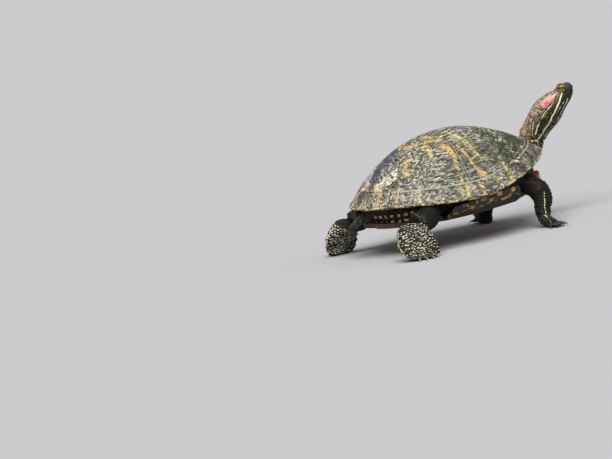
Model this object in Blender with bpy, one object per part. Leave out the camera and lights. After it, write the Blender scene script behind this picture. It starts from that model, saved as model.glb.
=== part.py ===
"""Red-eared slider turtle, life size, standing on its four feet with the neck stretched up.

Metres, +Z up, +X toward the head, +Y toward the turtle's left. The floor is Z = 0, and the
origin lies on it under the middle of the box round the turtle.
"""

import math

import bmesh
import bpy
from mathutils import Matrix, Vector, geometry

# ---- Driving dimensions, in metres and degrees ----
MM = 0.001
CENTRE_X = 0.0215  # middle of the whole turtle, ahead of the middle of the shell
GAP = 0.0003  # between pieces that touch
SHELL_PITCH = 5.9  # the front of the shell is carried higher
SHELL_HEIGHT = 0.0465  # of the rim's middle above the floor
HALF_LENGTH = 0.101  # of the carapace
HALF_WIDTH = 0.0735
REAR_FULLNESS = 0.09  # the shell is wider behind its middle
SIDE_POWER = 0.9
NUCHAL_NOTCH = 0.04
DOME = 0.0615  # height of the dome over the rim's middle
DOME_POWER = 2.03
DOME_POWER_SHIFT = -0.09  # rounder behind, steeper in front
RIM_FRONT_RISE = 0.017
RIM_REAR_RISE = 0.0172
MARGINAL_START = 0.87  # where the marginals begin, as a share of the way out to the rim
SCUTE_THICKNESS = 0.003
SCUTE_BEVEL = 0.0012
SCUTE_DROP = 0.0006
NUCHAL_HALF = 0.006
MARGINALS = 12  # on each side
PLASTRON_THICKNESS = 0.005

# Seams between the vertebral scutes: place along the shell, and half of the seam's length.
VERTEBRAL_SEAMS = ((0.056, 0.018), (0.016, 0.017), (-0.024, 0.016), (-0.061, 0.012))
# Seams between the pleural scutes: place and half width at the vertebrals, place at the marginals.
PLEURAL_SEAMS = ((0.032, 0.0225, 0.036), (-0.004, 0.023, -0.011), (-0.042, 0.0205, -0.055))
VERTEBRAL_FRONT_HALF = 0.023
VERTEBRAL_REAR_HALF = 0.022

SIDES = (("right", -1), ("left", 1))

SHELL_OLIVE = (0.105, 0.115, 0.062)
RIM_OLIVE = (0.16, 0.155, 0.075)
PLASTRON_YELLOW = (0.42, 0.25, 0.05)
SKIN_OLIVE = (0.055, 0.06, 0.035)
SKIN_DARK = (0.03, 0.032, 0.022)
EYE_GOLD = (0.45, 0.36, 0.05)


# ---- Scene, materials and small helpers ----
def clear_scene():
    for obj in list(bpy.data.objects):
        bpy.data.objects.remove(obj, do_unlink=True)


def make_material(name, colour, roughness, metallic=0.0):
    material = bpy.data.materials.new(name)
    material.use_nodes = True
    shader = material.node_tree.nodes["Principled BSDF"]
    shader.inputs["Base Color"].default_value = (*colour, 1)
    shader.inputs["Roughness"].default_value = roughness
    shader.inputs["Metallic"].default_value = metallic
    material.diffuse_color = (*colour, 1)
    return material


def object_from(bm, name, material=None, smooth=True):
    bmesh.ops.recalc_face_normals(bm, faces=bm.faces)
    mesh = bpy.data.meshes.new(name)
    bm.to_mesh(mesh)
    bm.free()
    obj = bpy.data.objects.new(name, mesh)
    bpy.context.scene.collection.objects.link(obj)
    if material:
        mesh.materials.append(material)
    if smooth:
        mesh.shade_smooth()
        mesh.set_sharp_from_angle(angle=math.radians(40))
    return obj


def as_cutter(obj):
    obj.hide_render = True
    obj.display_type = "WIRE"
    return obj


def boolean(obj, other, operation):
    step = obj.modifiers.new(operation.title(), "BOOLEAN")
    step.operation = operation
    step.object = other
    step.solver = "EXACT"


def bake_booleans(obj):
    """Turns the modifiers into plain mesh, so that another Boolean can use the result."""
    graph = bpy.context.evaluated_depsgraph_get()
    mesh = bpy.data.meshes.new_from_object(obj.evaluated_get(graph))
    obj.modifiers.clear()
    obj.data = mesh
    obj.data.shade_smooth()
    obj.data.set_sharp_from_angle(angle=math.radians(40))


def smoothstep(value):
    value = min(1.0, max(0.0, value))
    return value * value * (3 - 2 * value)


# ---- The shell's own surfaces: X and Y seen from above, in the frame of the tilted shell ----
def rim_point(turn):
    """A point of the rim's outline. turn is 0 at the front and pi at the rear."""
    c, s = math.cos(turn), math.sin(turn)
    x = HALF_LENGTH * c * (1 - NUCHAL_NOTCH * max(0.0, c) ** 30)
    y = HALF_WIDTH * math.copysign(abs(s) ** SIDE_POWER, s) * (1 - REAR_FULLNESS * c)
    return x, y


def rim_rise(turn):
    c = math.cos(turn)
    rear = max(0.0, -c)
    return RIM_FRONT_RISE * max(0.0, c) ** 1.6 + RIM_REAR_RISE * (rear**1.35 - 0.2 * rear**8)


def turn_of(x, y):
    """The rim's turn in the direction of a point, by halving."""
    want = math.atan2(abs(y), x)
    low, high = 0.0, math.pi
    for _ in range(40):
        middle = (low + high) / 2
        rx, ry = rim_point(middle)
        if math.atan2(ry, rx) < want:
            low = middle
        else:
            high = middle
    return math.copysign((low + high) / 2, y)


def share_of(x, y):
    """How far out a point lies, 0 at the middle and 1 at the rim, and the turn toward it."""
    turn = turn_of(x, y)
    rx, ry = rim_point(turn)
    return math.hypot(x, y) / math.hypot(rx, ry), turn


def dome_at(share, turn):
    power = DOME_POWER + DOME_POWER_SHIFT * math.cos(turn)
    return DOME * (1 - share**power) + rim_rise(turn) * share * share


def dome_height(x, y):
    return dome_at(*share_of(x, y))


def marginal_line(turn, share=MARGINAL_START):
    x, y = rim_point(turn)
    return x * share, y * share


def plastron_bottom(x):
    if x < 0.045:
        return -0.022 + 0.014 * ((0.045 - x) / 0.14) ** 1.8
    return -0.022 + 0.007 * ((x - 0.045) / 0.05) ** 2


def bridge_share(x, y):
    """How far a point is up the bridge that joins the plastron to the marginals."""
    along = smoothstep((x + 0.044) / 0.010) * smoothstep((0.048 - x) / 0.010)
    return along * smoothstep((abs(y) - 0.042) / 0.026)


def plastron_low(x, y):
    up = bridge_share(x, y)
    return plastron_bottom(x) * (1 - up) - 0.0066 * up


def plastron_high(x, y):
    up = bridge_share(x, y)
    lip = 0.0025 * smoothstep((x - 0.070) / 0.025)
    high = plastron_bottom(x) + PLASTRON_THICKNESS + lip
    return high * (1 - up) - 0.0026 * up


# ---- Solids between two heights over an outline ----
def inset_outline(points, distance):
    """The outline moved inwards, for an outline listed anticlockwise."""
    result = []
    count = len(points)
    for i, here in enumerate(points):
        before = Vector(here) - Vector(points[i - 1])
        after = Vector(points[(i + 1) % count]) - Vector(here)
        a = Vector((-before.y, before.x)).normalized()
        b = Vector((-after.y, after.x)).normalized()
        middle = (a + b).normalized()
        result.append(Vector(here) + middle * distance / max(0.35, middle.dot(a)))
    return result


def divided(start, end, spacing):
    """Points from start up to, and not including, end."""
    start, end = Vector(start), Vector(end)
    count = max(1, round((end - start).length / spacing))
    return [start.lerp(end, i / count) for i in range(count)]


def anticlockwise(points):
    area = sum(
        a[0] * b[1] - b[0] * a[1] for a, b in zip(points, points[1:] + points[:1])
    )
    return points if area > 0 else points[::-1]


def inside(point, outline):
    hit = False
    for a, b in zip(outline, outline[1:] + outline[:1]):
        if (a[1] > point[1]) != (b[1] > point[1]):
            if point[0] < a[0] + (point[1] - a[1]) * (b[0] - a[0]) / (b[1] - a[1]):
                hit = not hit
    return hit


def outline_distance(point, outline):
    return min(
        (geometry.intersect_point_line(point, a, b)[0] - Vector(point)).length
        if 0 <= geometry.intersect_point_line(point, a, b)[1] <= 1
        else min((Vector(a) - Vector(point)).length, (Vector(b) - Vector(point)).length)
        for a, b in zip(outline, outline[1:] + outline[:1])
    )


def slab(name, outline, high, low, material, bevel=0.0, drop=0.0, grid=0.009):
    """A closed solid over an outline, from low(x, y) up to high(x, y), with its top edge eased."""
    outline = [Vector(p) for p in anticlockwise([tuple(p) for p in outline])]
    rings = [outline]
    if bevel:
        rings.append(inset_outline(outline, bevel))
    points, edges = [], []
    for ring in rings:
        first = len(points)
        points += ring
        edges += [(first + i, first + (i + 1) % len(ring)) for i in range(len(ring))]
    keep_off = grid * 0.45
    xs = [p.x for p in outline]
    ys = [p.y for p in outline]
    columns = int((max(xs) - min(xs)) / grid) + 1
    rows = int((max(ys) - min(ys)) / grid) + 1
    for i in range(columns):
        for j in range(rows):
            spot = Vector((min(xs) + (i + 0.5) * grid, min(ys) + (j + 0.5) * grid))
            if inside(spot, rings[-1]) and outline_distance(spot, rings[-1]) > keep_off:
                points.append(spot)
    flat, _, faces = geometry.delaunay_2d_cdt(points, edges, [], 1, 1e-7)[:3]
    rim_count = len(outline)
    bm = bmesh.new()
    top, bottom = [], []
    for i, p in enumerate(flat):
        eased = drop if i < rim_count else 0.0
        top.append(bm.verts.new((p.x, p.y, high(p.x, p.y) - eased)))
        bottom.append(bm.verts.new((p.x, p.y, low(p.x, p.y))))
    for face in faces:
        bm.faces.new([top[i] for i in face])
        bm.faces.new([bottom[i] for i in reversed(face)])
    for i in range(rim_count):
        j = (i + 1) % rim_count
        bm.faces.new((top[i], bottom[i], bottom[j], top[j]))
    return object_from(bm, name, material)


# ---- Carapace ----
def line_turns(start, end, spacing):
    """Points of the marginals' inner line between two turns, without the last."""
    a, b = Vector(marginal_line(start)), Vector(marginal_line(end))
    count = max(2, round((a - b).length * 1.05 / spacing))
    return [Vector(marginal_line(start + (end - start) * i / count)) for i in range(count)]


def turn_where(value, axis, low, high):
    """The turn between low and high where the inner line's X (axis 0) or Y (axis 1) is value."""
    rising = marginal_line(high)[axis] > marginal_line(low)[axis]
    for _ in range(40):
        middle = (low + high) / 2
        if (marginal_line(middle)[axis] < value) == rising:
            low = middle
        else:
            high = middle
    return (low + high) / 2


def seam_network(side):
    """The corners where scute seams meet on one side, with the turns where they reach the marginals."""
    valleys = [Vector((x, side * half)) for x, half in VERTEBRAL_SEAMS]
    corners = [Vector((x, side * half)) for x, half, _ in PLEURAL_SEAMS]
    quarter = math.pi / 2
    turns = [turn_where(VERTEBRAL_FRONT_HALF, 1, 0.0, quarter)]
    turns += [turn_where(outer, 0, 0.2, math.pi - 0.2) for _, _, outer in PLEURAL_SEAMS]
    turns += [turn_where(VERTEBRAL_REAR_HALF, 1, quarter, math.pi)]
    return valleys, corners, [side * t for t in turns]


def scute(name, outline, material):
    outline = anticlockwise([tuple(p) for p in outline])
    inner = inset_outline([Vector(p) for p in outline], GAP * 0.55)
    return slab(
        name,
        inner,
        dome_height,
        lambda x, y: dome_height(x, y) - SCUTE_THICKNESS,
        material,
        bevel=SCUTE_BEVEL,
        drop=SCUTE_DROP,
        grid=0.0135,
    )


def pleural_outline(side, number):
    valleys, corners, turns = seam_network(side)
    spacing = 0.0105
    ends = [Vector(marginal_line(t)) for t in turns]
    path = []
    if number == 0:
        path += divided(ends[0], valleys[0], spacing)
    else:
        path += divided(ends[number], corners[number - 1], spacing)
        path += divided(corners[number - 1], valleys[number], spacing)
    if number < 3:
        path += divided(valleys[number], corners[number], spacing)
        path += divided(corners[number], ends[number + 1], spacing)
    else:
        path += divided(valleys[number], ends[number + 1], spacing)
    return path + line_turns(turns[number + 1], turns[number], spacing)


def vertebral_outline(number):
    spacing = 0.0105
    sides = []
    for side in (-1, 1):
        valleys, corners, turns = seam_network(side)
        if number == 0:
            path = [Vector(marginal_line(turns[0])), valleys[0]]
        elif number == 4:
            path = [valleys[3], Vector(marginal_line(turns[4]))]
        else:
            path = [valleys[number - 1], corners[number - 1], valleys[number]]
        sides.append(path)
    right, left = sides
    path = []
    for a, b in zip(right, right[1:]):
        path += divided(a, b, spacing)
    if number == 4:
        turns = seam_network(1)[2]
        path += line_turns(-turns[4], -math.pi, spacing) + line_turns(math.pi, turns[4], spacing)
    else:
        path += divided(right[-1], left[-1], spacing)
    back = left[::-1]
    for a, b in zip(back, back[1:]):
        path += divided(a, b, spacing)
    if number == 0:
        turns = seam_network(1)[2]
        path += line_turns(turns[0], -turns[0], spacing)
    else:
        path += divided(back[-1], right[0], spacing)
    return path


def rim_stations():
    """Turns round the whole rim, each with how deep it lies in a seam between two marginals."""
    fine = 720
    points = [Vector(rim_point(math.pi * i / fine)) for i in range(fine + 1)]
    along = [0.0]
    for a, b in zip(points, points[1:]):
        along.append(along[-1] + (b - a).length)

    def turn_at(length):
        i = next(k for k in range(1, fine + 1) if along[k] >= length or k == fine)
        part = (length - along[i - 1]) / (along[i] - along[i - 1])
        return math.pi * (i - 1 + part) / fine

    each = (along[-1] - NUCHAL_HALF) / MARGINALS
    half = [(0.0, 0.0)]
    for k in range(MARGINALS):
        seam = NUCHAL_HALF + each * k
        half += [(turn_at(seam - 0.0011), 0.0), (turn_at(seam), 1.0), (turn_at(seam + 0.0011), 0.0)]
        half.append((turn_at(seam + each * 0.5), -0.4))
    right = [(-t, depth) for t, depth in reversed(half[1:])]
    return right + half + [(math.pi, 1.0)]


def rim_section(turn, depth):
    """The marginals' cross-section at one turn: out along the top, round the edge, back beneath.

    They are thin plates in front and behind, and thick along the bridges.
    """
    rise = rim_rise(turn)
    rear = max(0.0, -math.cos(turn))
    start = MARGINAL_START + 0.0042
    high = dome_at(MARGINAL_START, turn)
    groove = 0.0006 * max(0.0, depth)
    edge = 1.0 - (0.002 + 0.013 * rear**2) * max(0.0, depth) + 0.003 * max(0.0, -depth)
    section = []
    for part in (0.0, 0.5):
        flare = 0.5 * abs(math.cos(turn)) * part * (1 - part)
        height = high + (rise - high) * (part + flare)
        section.append((start + (edge - start) * part, height - groove))
    section.append((edge, rise - 0.0005))
    section.append((edge - 0.006, rise - 0.0022))
    x = rim_point(turn)[0]
    beside = smoothstep((x + 0.056) / 0.014) * smoothstep((0.060 - x) / 0.014)
    thin = high - 0.0036
    flat = rise - 0.0022
    section.append((start + 0.02, (flat - 0.004 + thin) * 0.5 * (1 - beside) + flat * beside))
    section.append((start, thin * (1 - beside) + (flat + 0.001) * beside))
    return [
        Vector((*(c * share for c in rim_point(turn)), height)) for share, height in section
    ]


def build_rim(material):
    bm = bmesh.new()
    rings = [[bm.verts.new(p) for p in rim_section(*s)] for s in rim_stations()]
    for a, b in zip(rings, rings[1:] + rings[:1]):
        for i in range(len(a)):
            j = (i + 1) % len(a)
            bm.faces.new((a[i], a[j], b[j], b[i]))
    return object_from(bm, "marginal_rim", material)


def build_carapace(frame, shell, rim):
    made = [build_rim(rim)]
    for number in range(5):
        made.append(scute(f"vertebral_scute_{number + 1}", vertebral_outline(number), shell))
    for word, side in SIDES:
        for number in range(4):
            outline = pleural_outline(side, number)
            made.append(scute(f"pleural_scute_{word}_{number + 1}", outline, shell))
    for obj in made:
        obj.parent = frame


# ---- Plastron and trunk ----
def plastron_half():
    """Half of the plastron's outline, from the gular tip round to the anal notch."""
    return (
        (0.0935, 0.0), (0.0945, 0.0065), (0.092, 0.0135), (0.084, 0.0225), (0.073, 0.029),
        (0.060, 0.0345), (0.050, 0.038), (0.0445, 0.0415), (0.0425, 0.048), (0.043, 0.056),
        (0.0405, 0.0625), (0.026, 0.0655), (0.008, 0.0675), (-0.010, 0.068), (-0.027, 0.0670),
        (-0.0375, 0.063), (-0.0405, 0.056), (-0.039, 0.048), (-0.0385, 0.0425),
        (-0.046, 0.0405), (-0.060, 0.0405), (-0.074, 0.036), (-0.085, 0.0275),
        (-0.0915, 0.0185), (-0.0935, 0.010), (-0.0895, 0.0),
    )


def plastron_slab(name, clearance, material=None):
    half = plastron_half()
    outline = list(half) + [(x, -y) for x, y in reversed(half[1:-1])]
    return slab(
        name,
        outline,
        lambda x, y: plastron_high(x, y) + clearance,
        lambda x, y: plastron_low(x, y) - clearance * 4,
        material,
        grid=0.014,
    )


def build_plastron(frame, material):
    plastron_slab("plastron", 0.0, material).parent = frame


def lobe_half(x):
    """Half of the plastron's width without its bridges, where the skin leaves its edge."""
    if x > 0:
        return 0.040 * max(0.0, 1 - max(0.0, (x - 0.042) / 0.056) ** 2) ** 0.5
    return 0.041 * max(0.0, 1 - max(0.0, (-x - 0.055) / 0.041) ** 2.4) ** 0.5


def trunk_low(x, y):
    """The skin rises from the plastron's edge to the inside of the marginals."""
    beside = smoothstep((x + 0.044) / 0.010) * smoothstep((0.048 - x) / 0.010)
    beyond = max(0.0, abs(y) - lobe_half(x) + 0.003) * (1 - beside)
    base = plastron_high(x, y) - GAP
    return min(trunk_high(x, y) - 0.004, base + 0.85 * beyond)


def trunk_high(x, y):
    return dome_height(x, y) - SCUTE_THICKNESS - 0.0012


def build_trunk(frame, material):
    turns = [math.tau * i / 44 for i in range(44)]
    outline = [marginal_line(t if t < math.pi else t - math.tau, 0.866) for t in turns]
    obj = slab("trunk", outline, trunk_high, trunk_low, material, grid=0.021)
    space = as_cutter(plastron_slab("plastron_space", GAP))
    boolean(obj, space, "DIFFERENCE")
    obj.parent = frame
    space.parent = frame
    return obj


# ---- Lofted flesh: rings along a curve ----
def catmull(values, t):
    """A smooth value at t through a list of numbers."""
    i = min(len(values) - 2, max(0, int(t)))
    u = t - i
    p1, p2 = values[i], values[i + 1]
    p0 = values[i - 1] if i > 0 else 2 * p1 - p2
    p3 = values[i + 2] if i + 2 < len(values) else 2 * p2 - p1
    bend = -p0 + 3 * p1 - 3 * p2 + p3
    return p1 + 0.5 * u * (p2 - p0 + u * (2 * p0 - 5 * p1 + 4 * p2 - p3 + u * bend))


class Loft:
    """Rings along a curve. A row is (centre, half width, height above, depth below), in millimetres.

    up is the side that "above" points to, and power rounds or squares the rings.
    """

    def __init__(self, rows, up, sides=14, power=2.2, axis=None):
        self.rows = [tuple(c * MM for c in (*row[0], *row[1:])) for row in rows]
        self.up = Vector(up)
        self.sides = sides
        self.power = power
        self.axis = axis

    def values(self, t):
        return [catmull([row[k] for row in self.rows], t) for k in range(6)]

    def centre(self, t):
        return Vector(self.values(t)[:3])

    def frame(self, t):
        if self.axis:
            ahead = Vector(self.axis).normalized()
        else:
            step = 0.04
            last = len(self.rows) - 1
            ahead = self.centre(min(last, t + step)) - self.centre(max(0, t - step))
            ahead.normalize()
        side = self.up.cross(ahead).normalized()
        return ahead, side, ahead.cross(side)

    def ring(self, t, more=0.0):
        x, y, z, half, above, below = self.values(t)
        _, side, up = self.frame(t)
        points = []
        for i in range(self.sides):
            turn = math.tau * i / self.sides
            c, s = math.cos(turn), math.sin(turn)
            a = math.copysign(abs(c) ** (2 / self.power), c) * (half + more)
            b = math.copysign(abs(s) ** (2 / self.power), s)
            b *= (above if s > 0 else below) + more
            points.append(Vector((x, y, z)) + side * a + up * b)
        return points

    def solid(self, name, stations, material=None, more=0.0, nose=0.0):
        """The closed piece through the given stations, with a rounded nose at the far end."""
        bm = bmesh.new()
        rings = [[bm.verts.new(p) for p in self.ring(t, more)] for t in stations]
        for corner in rings[0]:
            corner.co -= self.frame(stations[0])[0] * more
        for a, b in zip(rings, rings[1:]):
            for i in range(self.sides):
                j = (i + 1) % self.sides
                bm.faces.new((a[i], a[j], b[j], b[i]))
        bm.faces.new(list(reversed(rings[0])))
        if nose:
            ahead = self.frame(stations[-1])[0]
            middle = sum((v.co for v in rings[-1]), Vector()) / self.sides
            tip = bm.verts.new(middle + ahead * (nose + more))
            for i in range(self.sides):
                bm.faces.new((rings[-1][i], rings[-1][(i + 1) % self.sides], tip))
        else:
            bm.faces.new(rings[-1])
        return object_from(bm, name, material)


def steps(start, end, count):
    return [start + (end - start) * i / count for i in range(count + 1)]


# ---- Head and neck ----
HEAD_YAW = -27.0
HEAD_PITCH = 36.0
EYE_LEVEL = (137.7, -1.0, 122.0)  # between the eyes, in millimetres
EYE_RADIUS = 0.0040
EYE_PLACE = (-0.0003, 0.0055, -0.0014)  # the left one, from the point between the eyes
MOUTH_DROP = 0.0092
MOUTH_CORNER = -0.0095

# Along the head from between the eyes: place, half width, top and bottom, in millimetres.
HEAD_PROFILE = (
    (-27.0, 12.9, 7.0, -22.6), (-20.5, 13.8, 6.9, -21.4), (-13.5, 13.0, 5.4, -19.0),
    (-7.0, 11.2, 4.2, -17.2), (-2.0, 9.7, 3.7, -15.8), (2.0, 8.0, 3.5, -13.7),
    (4.9, 6.4, 3.1, -10.5), (6.9, 4.6, 2.0, -5.7),
)
NECK_ROWS = (
    ((66, 3, 55), 15.5, 11, 12), ((82, 8, 58), 15.5, 10, 10.5), ((95, 14, 61), 15, 7.2, 10.2),
    ((105, 18.5, 68), 14, 6.9, 10.9), ((108.6, 18.5, 77.5), 13.6, 13.0, 12.2),
    ((111, 16.4, 84), 13.2, 12.3, 13.9), ((114, 13.8, 90), 13, 12.2, 14.5),
)


def head_matrix():
    turn = Matrix.Rotation(math.radians(HEAD_YAW), 4, "Z")
    tip = Matrix.Rotation(math.radians(-HEAD_PITCH), 4, "Y")
    return Matrix.Translation(Vector(EYE_LEVEL) * MM) @ turn @ tip


def head_and_neck_rows():
    rows = list(NECK_ROWS)
    place = head_matrix()
    for along, half, top, bottom in HEAD_PROFILE:
        middle = (top + bottom) / 2
        centre = place @ (Vector((along, 0, middle)) * MM)
        rows.append((tuple(centre / MM), half, (top - bottom) / 2, (top - bottom) / 2))
    return rows


def box(name, low, high, place):
    bm = bmesh.new()
    bmesh.ops.create_cube(bm, size=1)
    size = Vector(high) - Vector(low)
    centre = (Vector(high) + Vector(low)) / 2
    shape = place @ Matrix.Translation(centre) @ Matrix.Diagonal((*size, 1))
    bmesh.ops.transform(bm, matrix=shape, verts=bm.verts)
    return as_cutter(object_from(bm, name, smooth=False))


def ball(name, centre, radius, material=None):
    bm = bmesh.new()
    bmesh.ops.create_uvsphere(bm, u_segments=12, v_segments=7, radius=radius)
    bmesh.ops.translate(bm, vec=centre, verts=bm.verts)
    return object_from(bm, name, material)


def build_head_and_neck(trunk, skin, dark, eye_material):
    rows = head_and_neck_rows()
    up = head_matrix().to_3x3() @ Vector((0, 0, 1))
    loft = Loft(rows, up, sides=14, power=2.25)
    neck_end = len(NECK_ROWS) - 0.5
    cut = 0.016  # of the way between two rings: a gap of about 0.3 mm
    loft.solid("neck_lower", steps(0, 2.5, 5), skin)
    loft.solid("neck_upper", steps(2.53, neck_end, 7), skin)
    skull = steps(neck_end + cut * 1.4, len(rows) - 1, 13)
    head = loft.solid("head", skull, skin, nose=0.0012)
    boolean(trunk, as_cutter(loft.solid("neck_socket", steps(0, 3, 6), more=GAP)), "DIFFERENCE")
    place = head_matrix()
    jaw_box = ((MOUTH_CORNER, -0.03, -0.04), (0.03, 0.03, -MOUTH_DROP))
    wide = ((MOUTH_CORNER - GAP, -0.03, -0.04), (0.03, 0.03, -MOUTH_DROP + GAP))
    jaw = loft.solid("lower_jaw", skull, dark, nose=0.0012)
    boolean(jaw, box("jaw_block", *jaw_box, place), "INTERSECT")
    boolean(head, box("jaw_space", *wide, place), "DIFFERENCE")
    for word, side in SIDES:
        centre = place @ (Vector(EYE_PLACE) * Vector((1, side, 1)))
        ball(f"eye_{word}", centre, EYE_RADIUS, eye_material)
        socket = as_cutter(ball(f"socket_{word}", centre, EYE_RADIUS + GAP))
        boolean(head, socket, "DIFFERENCE")


# ---- Legs, feet and tail ----
FORELEG = (
    ((48, -31, 50), 9, 9, 9.5), ((58.5, -41.5, 44), 9.5, 9.8, 9.5), ((67, -49, 36.5), 9.5, 10.8, 10.2),
    ((69.2, -53, 27.5), 8.5, 9.8, 9.8), ((66.5, -54.5, 19.5), 7.5, 8, 8), ((65.5, -56, 12), 7.3, 7.6, 7.6),
)
FOREFOOT = (
    ((65, -56, 14), 6.8, 6, 6), ((65.5, -58, 8.5), 8, 5.6, 6.6), ((67, -63.5, 5.2), 9.5, 4.8, 4.8),
    ((68.5, -69, 3.6), 10.5, 3.6, 4.2), ((69.5, -72.5, 2.4), 10, 2.6, 3.1),
)
THIGH = (
    ((-42, -29, 48), 12, 11, 12), ((-50, -42, 45), 12, 11.5, 11.5), ((-57.5, -54, 37), 11.5, 12, 11.5),
    ((-68, -60, 32.5), 11, 11.5, 11), ((-79, -63.5, 30), 10.5, 10.5, 10.5),
)
HINDFOOT = (
    ((-84, -63.5, 31), 12, 7.5, 7.5), ((-85.5, -68, 25), 16, 8.5, 8), ((-86.5, -74, 16.5), 19, 7, 6.5),
    ((-84.2, -78.6, 8.4), 18, 5, 5.5), ((-85.4, -82.3, 1.9), 14.5, 3.2, 4.8),
)
TAIL = (
    ((-74, 2, 43), 7.2, 7, 7), ((-87, 5, 42), 6, 5.8, 5.8), ((-96.5, 11, 37.5), 5, 4.6, 4.6),
    ((-101.5, 20, 30.5), 3.4, 3.2, 3.2), ((-102.5, 29, 26), 1.8, 1.8, 1.8),
)
# Each toe: root, direction over the floor in degrees, length of toe and of claw, in millimetres.
FORE_TOES = (
    ((73, -70.5, 2.6), -54, 4, 5), ((72, -73.5, 2.6), -68, 4.5, 5.5), ((69, -75, 2.6), -83, 4.5, 6),
    ((65.3, -74.5, 2.6), -98, 4.5, 5.5), ((61.8, -72, 2.6), -116, 3.5, 5),
)
HIND_TOES = (
    ((-75.5, -82.3, 1.7), -74, 3.5, 5), ((-80.5, -84, 1.7), -87, 4.5, 5.5),
    ((-85.8, -83.8, 1.7), -101, 4.5, 6), ((-91, -82, 1.7), -115, 4.5, 5.5), ((-95, -79, 1.7), -132, 4, 1.5),
)


def mirrored(rows, side):
    """The rows of the right side, or the same rows on the left side."""
    return [((row[0][0], -side * row[0][1], row[0][2]), *row[1:]) for row in rows]


def toe(name, side, row, width):
    (x, y, z), heading, length, claw = row
    turn = math.radians(heading)
    ahead = Vector((math.cos(turn), -side * math.sin(turn), 0))
    root = Vector((x, -side * y, z))
    spots = (
        (-4.0, 0.6, width), (0.35 * length, 0.7, width), (0.85 * length, 0.1, width * 0.85),
        (length, 0.5, width * 0.50), (length + 0.55 * claw, 0.1, width * 0.34),
        (length + claw, -1.2, 0.28),
    )
    rows = []
    for along, lift, half in spots:
        centre = root + ahead * along + Vector((0, 0, lift))
        rows.append((tuple(centre), half, half * 0.85, half * 0.85))
    return Loft(rows, (0, 0, 1), sides=6, power=2.0).solid(name, steps(0, 5, 5))


def build_foot(name, side, rows, up, toes, width, material):
    loft = Loft(mirrored(rows, side), up, sides=12, power=2.1)
    last = len(rows) - 1
    foot = loft.solid(name, steps(0, last, 8), material, nose=0.0022)
    for number, row in enumerate(toes):
        boolean(foot, as_cutter(toe(f"{name}_toe_{number + 1}", side, row, width)), "UNION")
    ground = box(f"{name}_ground", (-0.3, -0.3, -0.05), (0.3, 0.3, 0.0), Matrix.Identity(4))
    boolean(foot, ground, "DIFFERENCE")
    fat = loft.solid(f"{name}_space", steps(0, last, 8), more=GAP, nose=0.0022)
    return as_cutter(fat)


def build_limb(names, side, rows, up, split, trunk, foot_space, skin, word):
    loft = Loft(mirrored(rows, side), up, sides=12, power=2.1)
    last = len(rows) - 1
    cut = 0.03
    upper, lower = names
    loft.solid(f"{upper}_{word}", steps(0, split, 6), skin)
    end = loft.solid(f"{lower}_{word}", steps(split + cut, last, 6), skin)
    boolean(end, foot_space, "DIFFERENCE")
    fat = as_cutter(loft.solid(f"{upper}_{word}_socket", steps(0, split, 6), more=GAP))
    boolean(trunk, fat, "DIFFERENCE")


def build_legs(trunk, skin, foot_skin):
    for word, side in SIDES:
        outward = Vector((0, side, 0))
        fore_up = Vector((1.0, 0.0, 0.9))
        space = build_foot(f"forefoot_{word}", side, FOREFOOT, (1, 0, 1), FORE_TOES, 1.9, foot_skin)
        build_limb(
            ("upper_arm", "forearm"), side, FORELEG, fore_up, 2.5, trunk, space, skin, word
        )
        hind_up = Vector((-0.2, 0, 0.8)) + outward
        space = build_foot(f"hindfoot_{word}", side, HINDFOOT, hind_up, HIND_TOES, 2.3, foot_skin)
        build_limb(("thigh", "shank"), side, THIGH, (0, 0, 1), 2.3, trunk, space, skin, word)


def build_tail(trunk, material):
    loft = Loft(TAIL, (0, 0, 1), sides=10, power=2.1)
    loft.solid("tail", steps(0, 4, 8), material, nose=0.0015)
    boolean(trunk, as_cutter(loft.solid("tail_socket", steps(0, 3, 7), more=GAP)), "DIFFERENCE")


def main():
    clear_scene()
    shell = make_material("shell_horn", SHELL_OLIVE, 0.55)
    rim = make_material("rim_horn", RIM_OLIVE, 0.5)
    yellow = make_material("plastron_horn", PLASTRON_YELLOW, 0.45)
    skin = make_material("skin", SKIN_OLIVE, 0.6)
    dark = make_material("dark_skin", SKIN_DARK, 0.6)
    gold = make_material("eye", EYE_GOLD, 0.1)

    body = bpy.data.objects.new("body_frame", None)
    bpy.context.scene.collection.objects.link(body)
    body.location = (-CENTRE_X, 0, 0)
    frame = bpy.data.objects.new("shell_frame", None)
    bpy.context.scene.collection.objects.link(frame)
    frame.location = (0, 0, SHELL_HEIGHT)
    frame.rotation_euler = (0, -math.radians(SHELL_PITCH), 0)

    build_carapace(frame, shell, rim)
    build_plastron(frame, yellow)
    trunk = build_trunk(frame, dark)
    build_head_and_neck(trunk, skin, dark, gold)
    build_legs(trunk, skin, dark)
    build_tail(trunk, dark)
    for obj in bpy.data.objects:
        if obj.parent is None and obj is not body:
            obj.parent = body


main()
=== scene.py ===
# Red-eared slider, life size, standing with its neck stretched up.
# Metres, floor at Z = 0, +X toward the head. Sizes marked mm are in millimetres.
import math

import bpy
import numpy as np
from mathutils import Matrix, Vector, geometry
from mathutils.bvhtree import BVHTree


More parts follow.
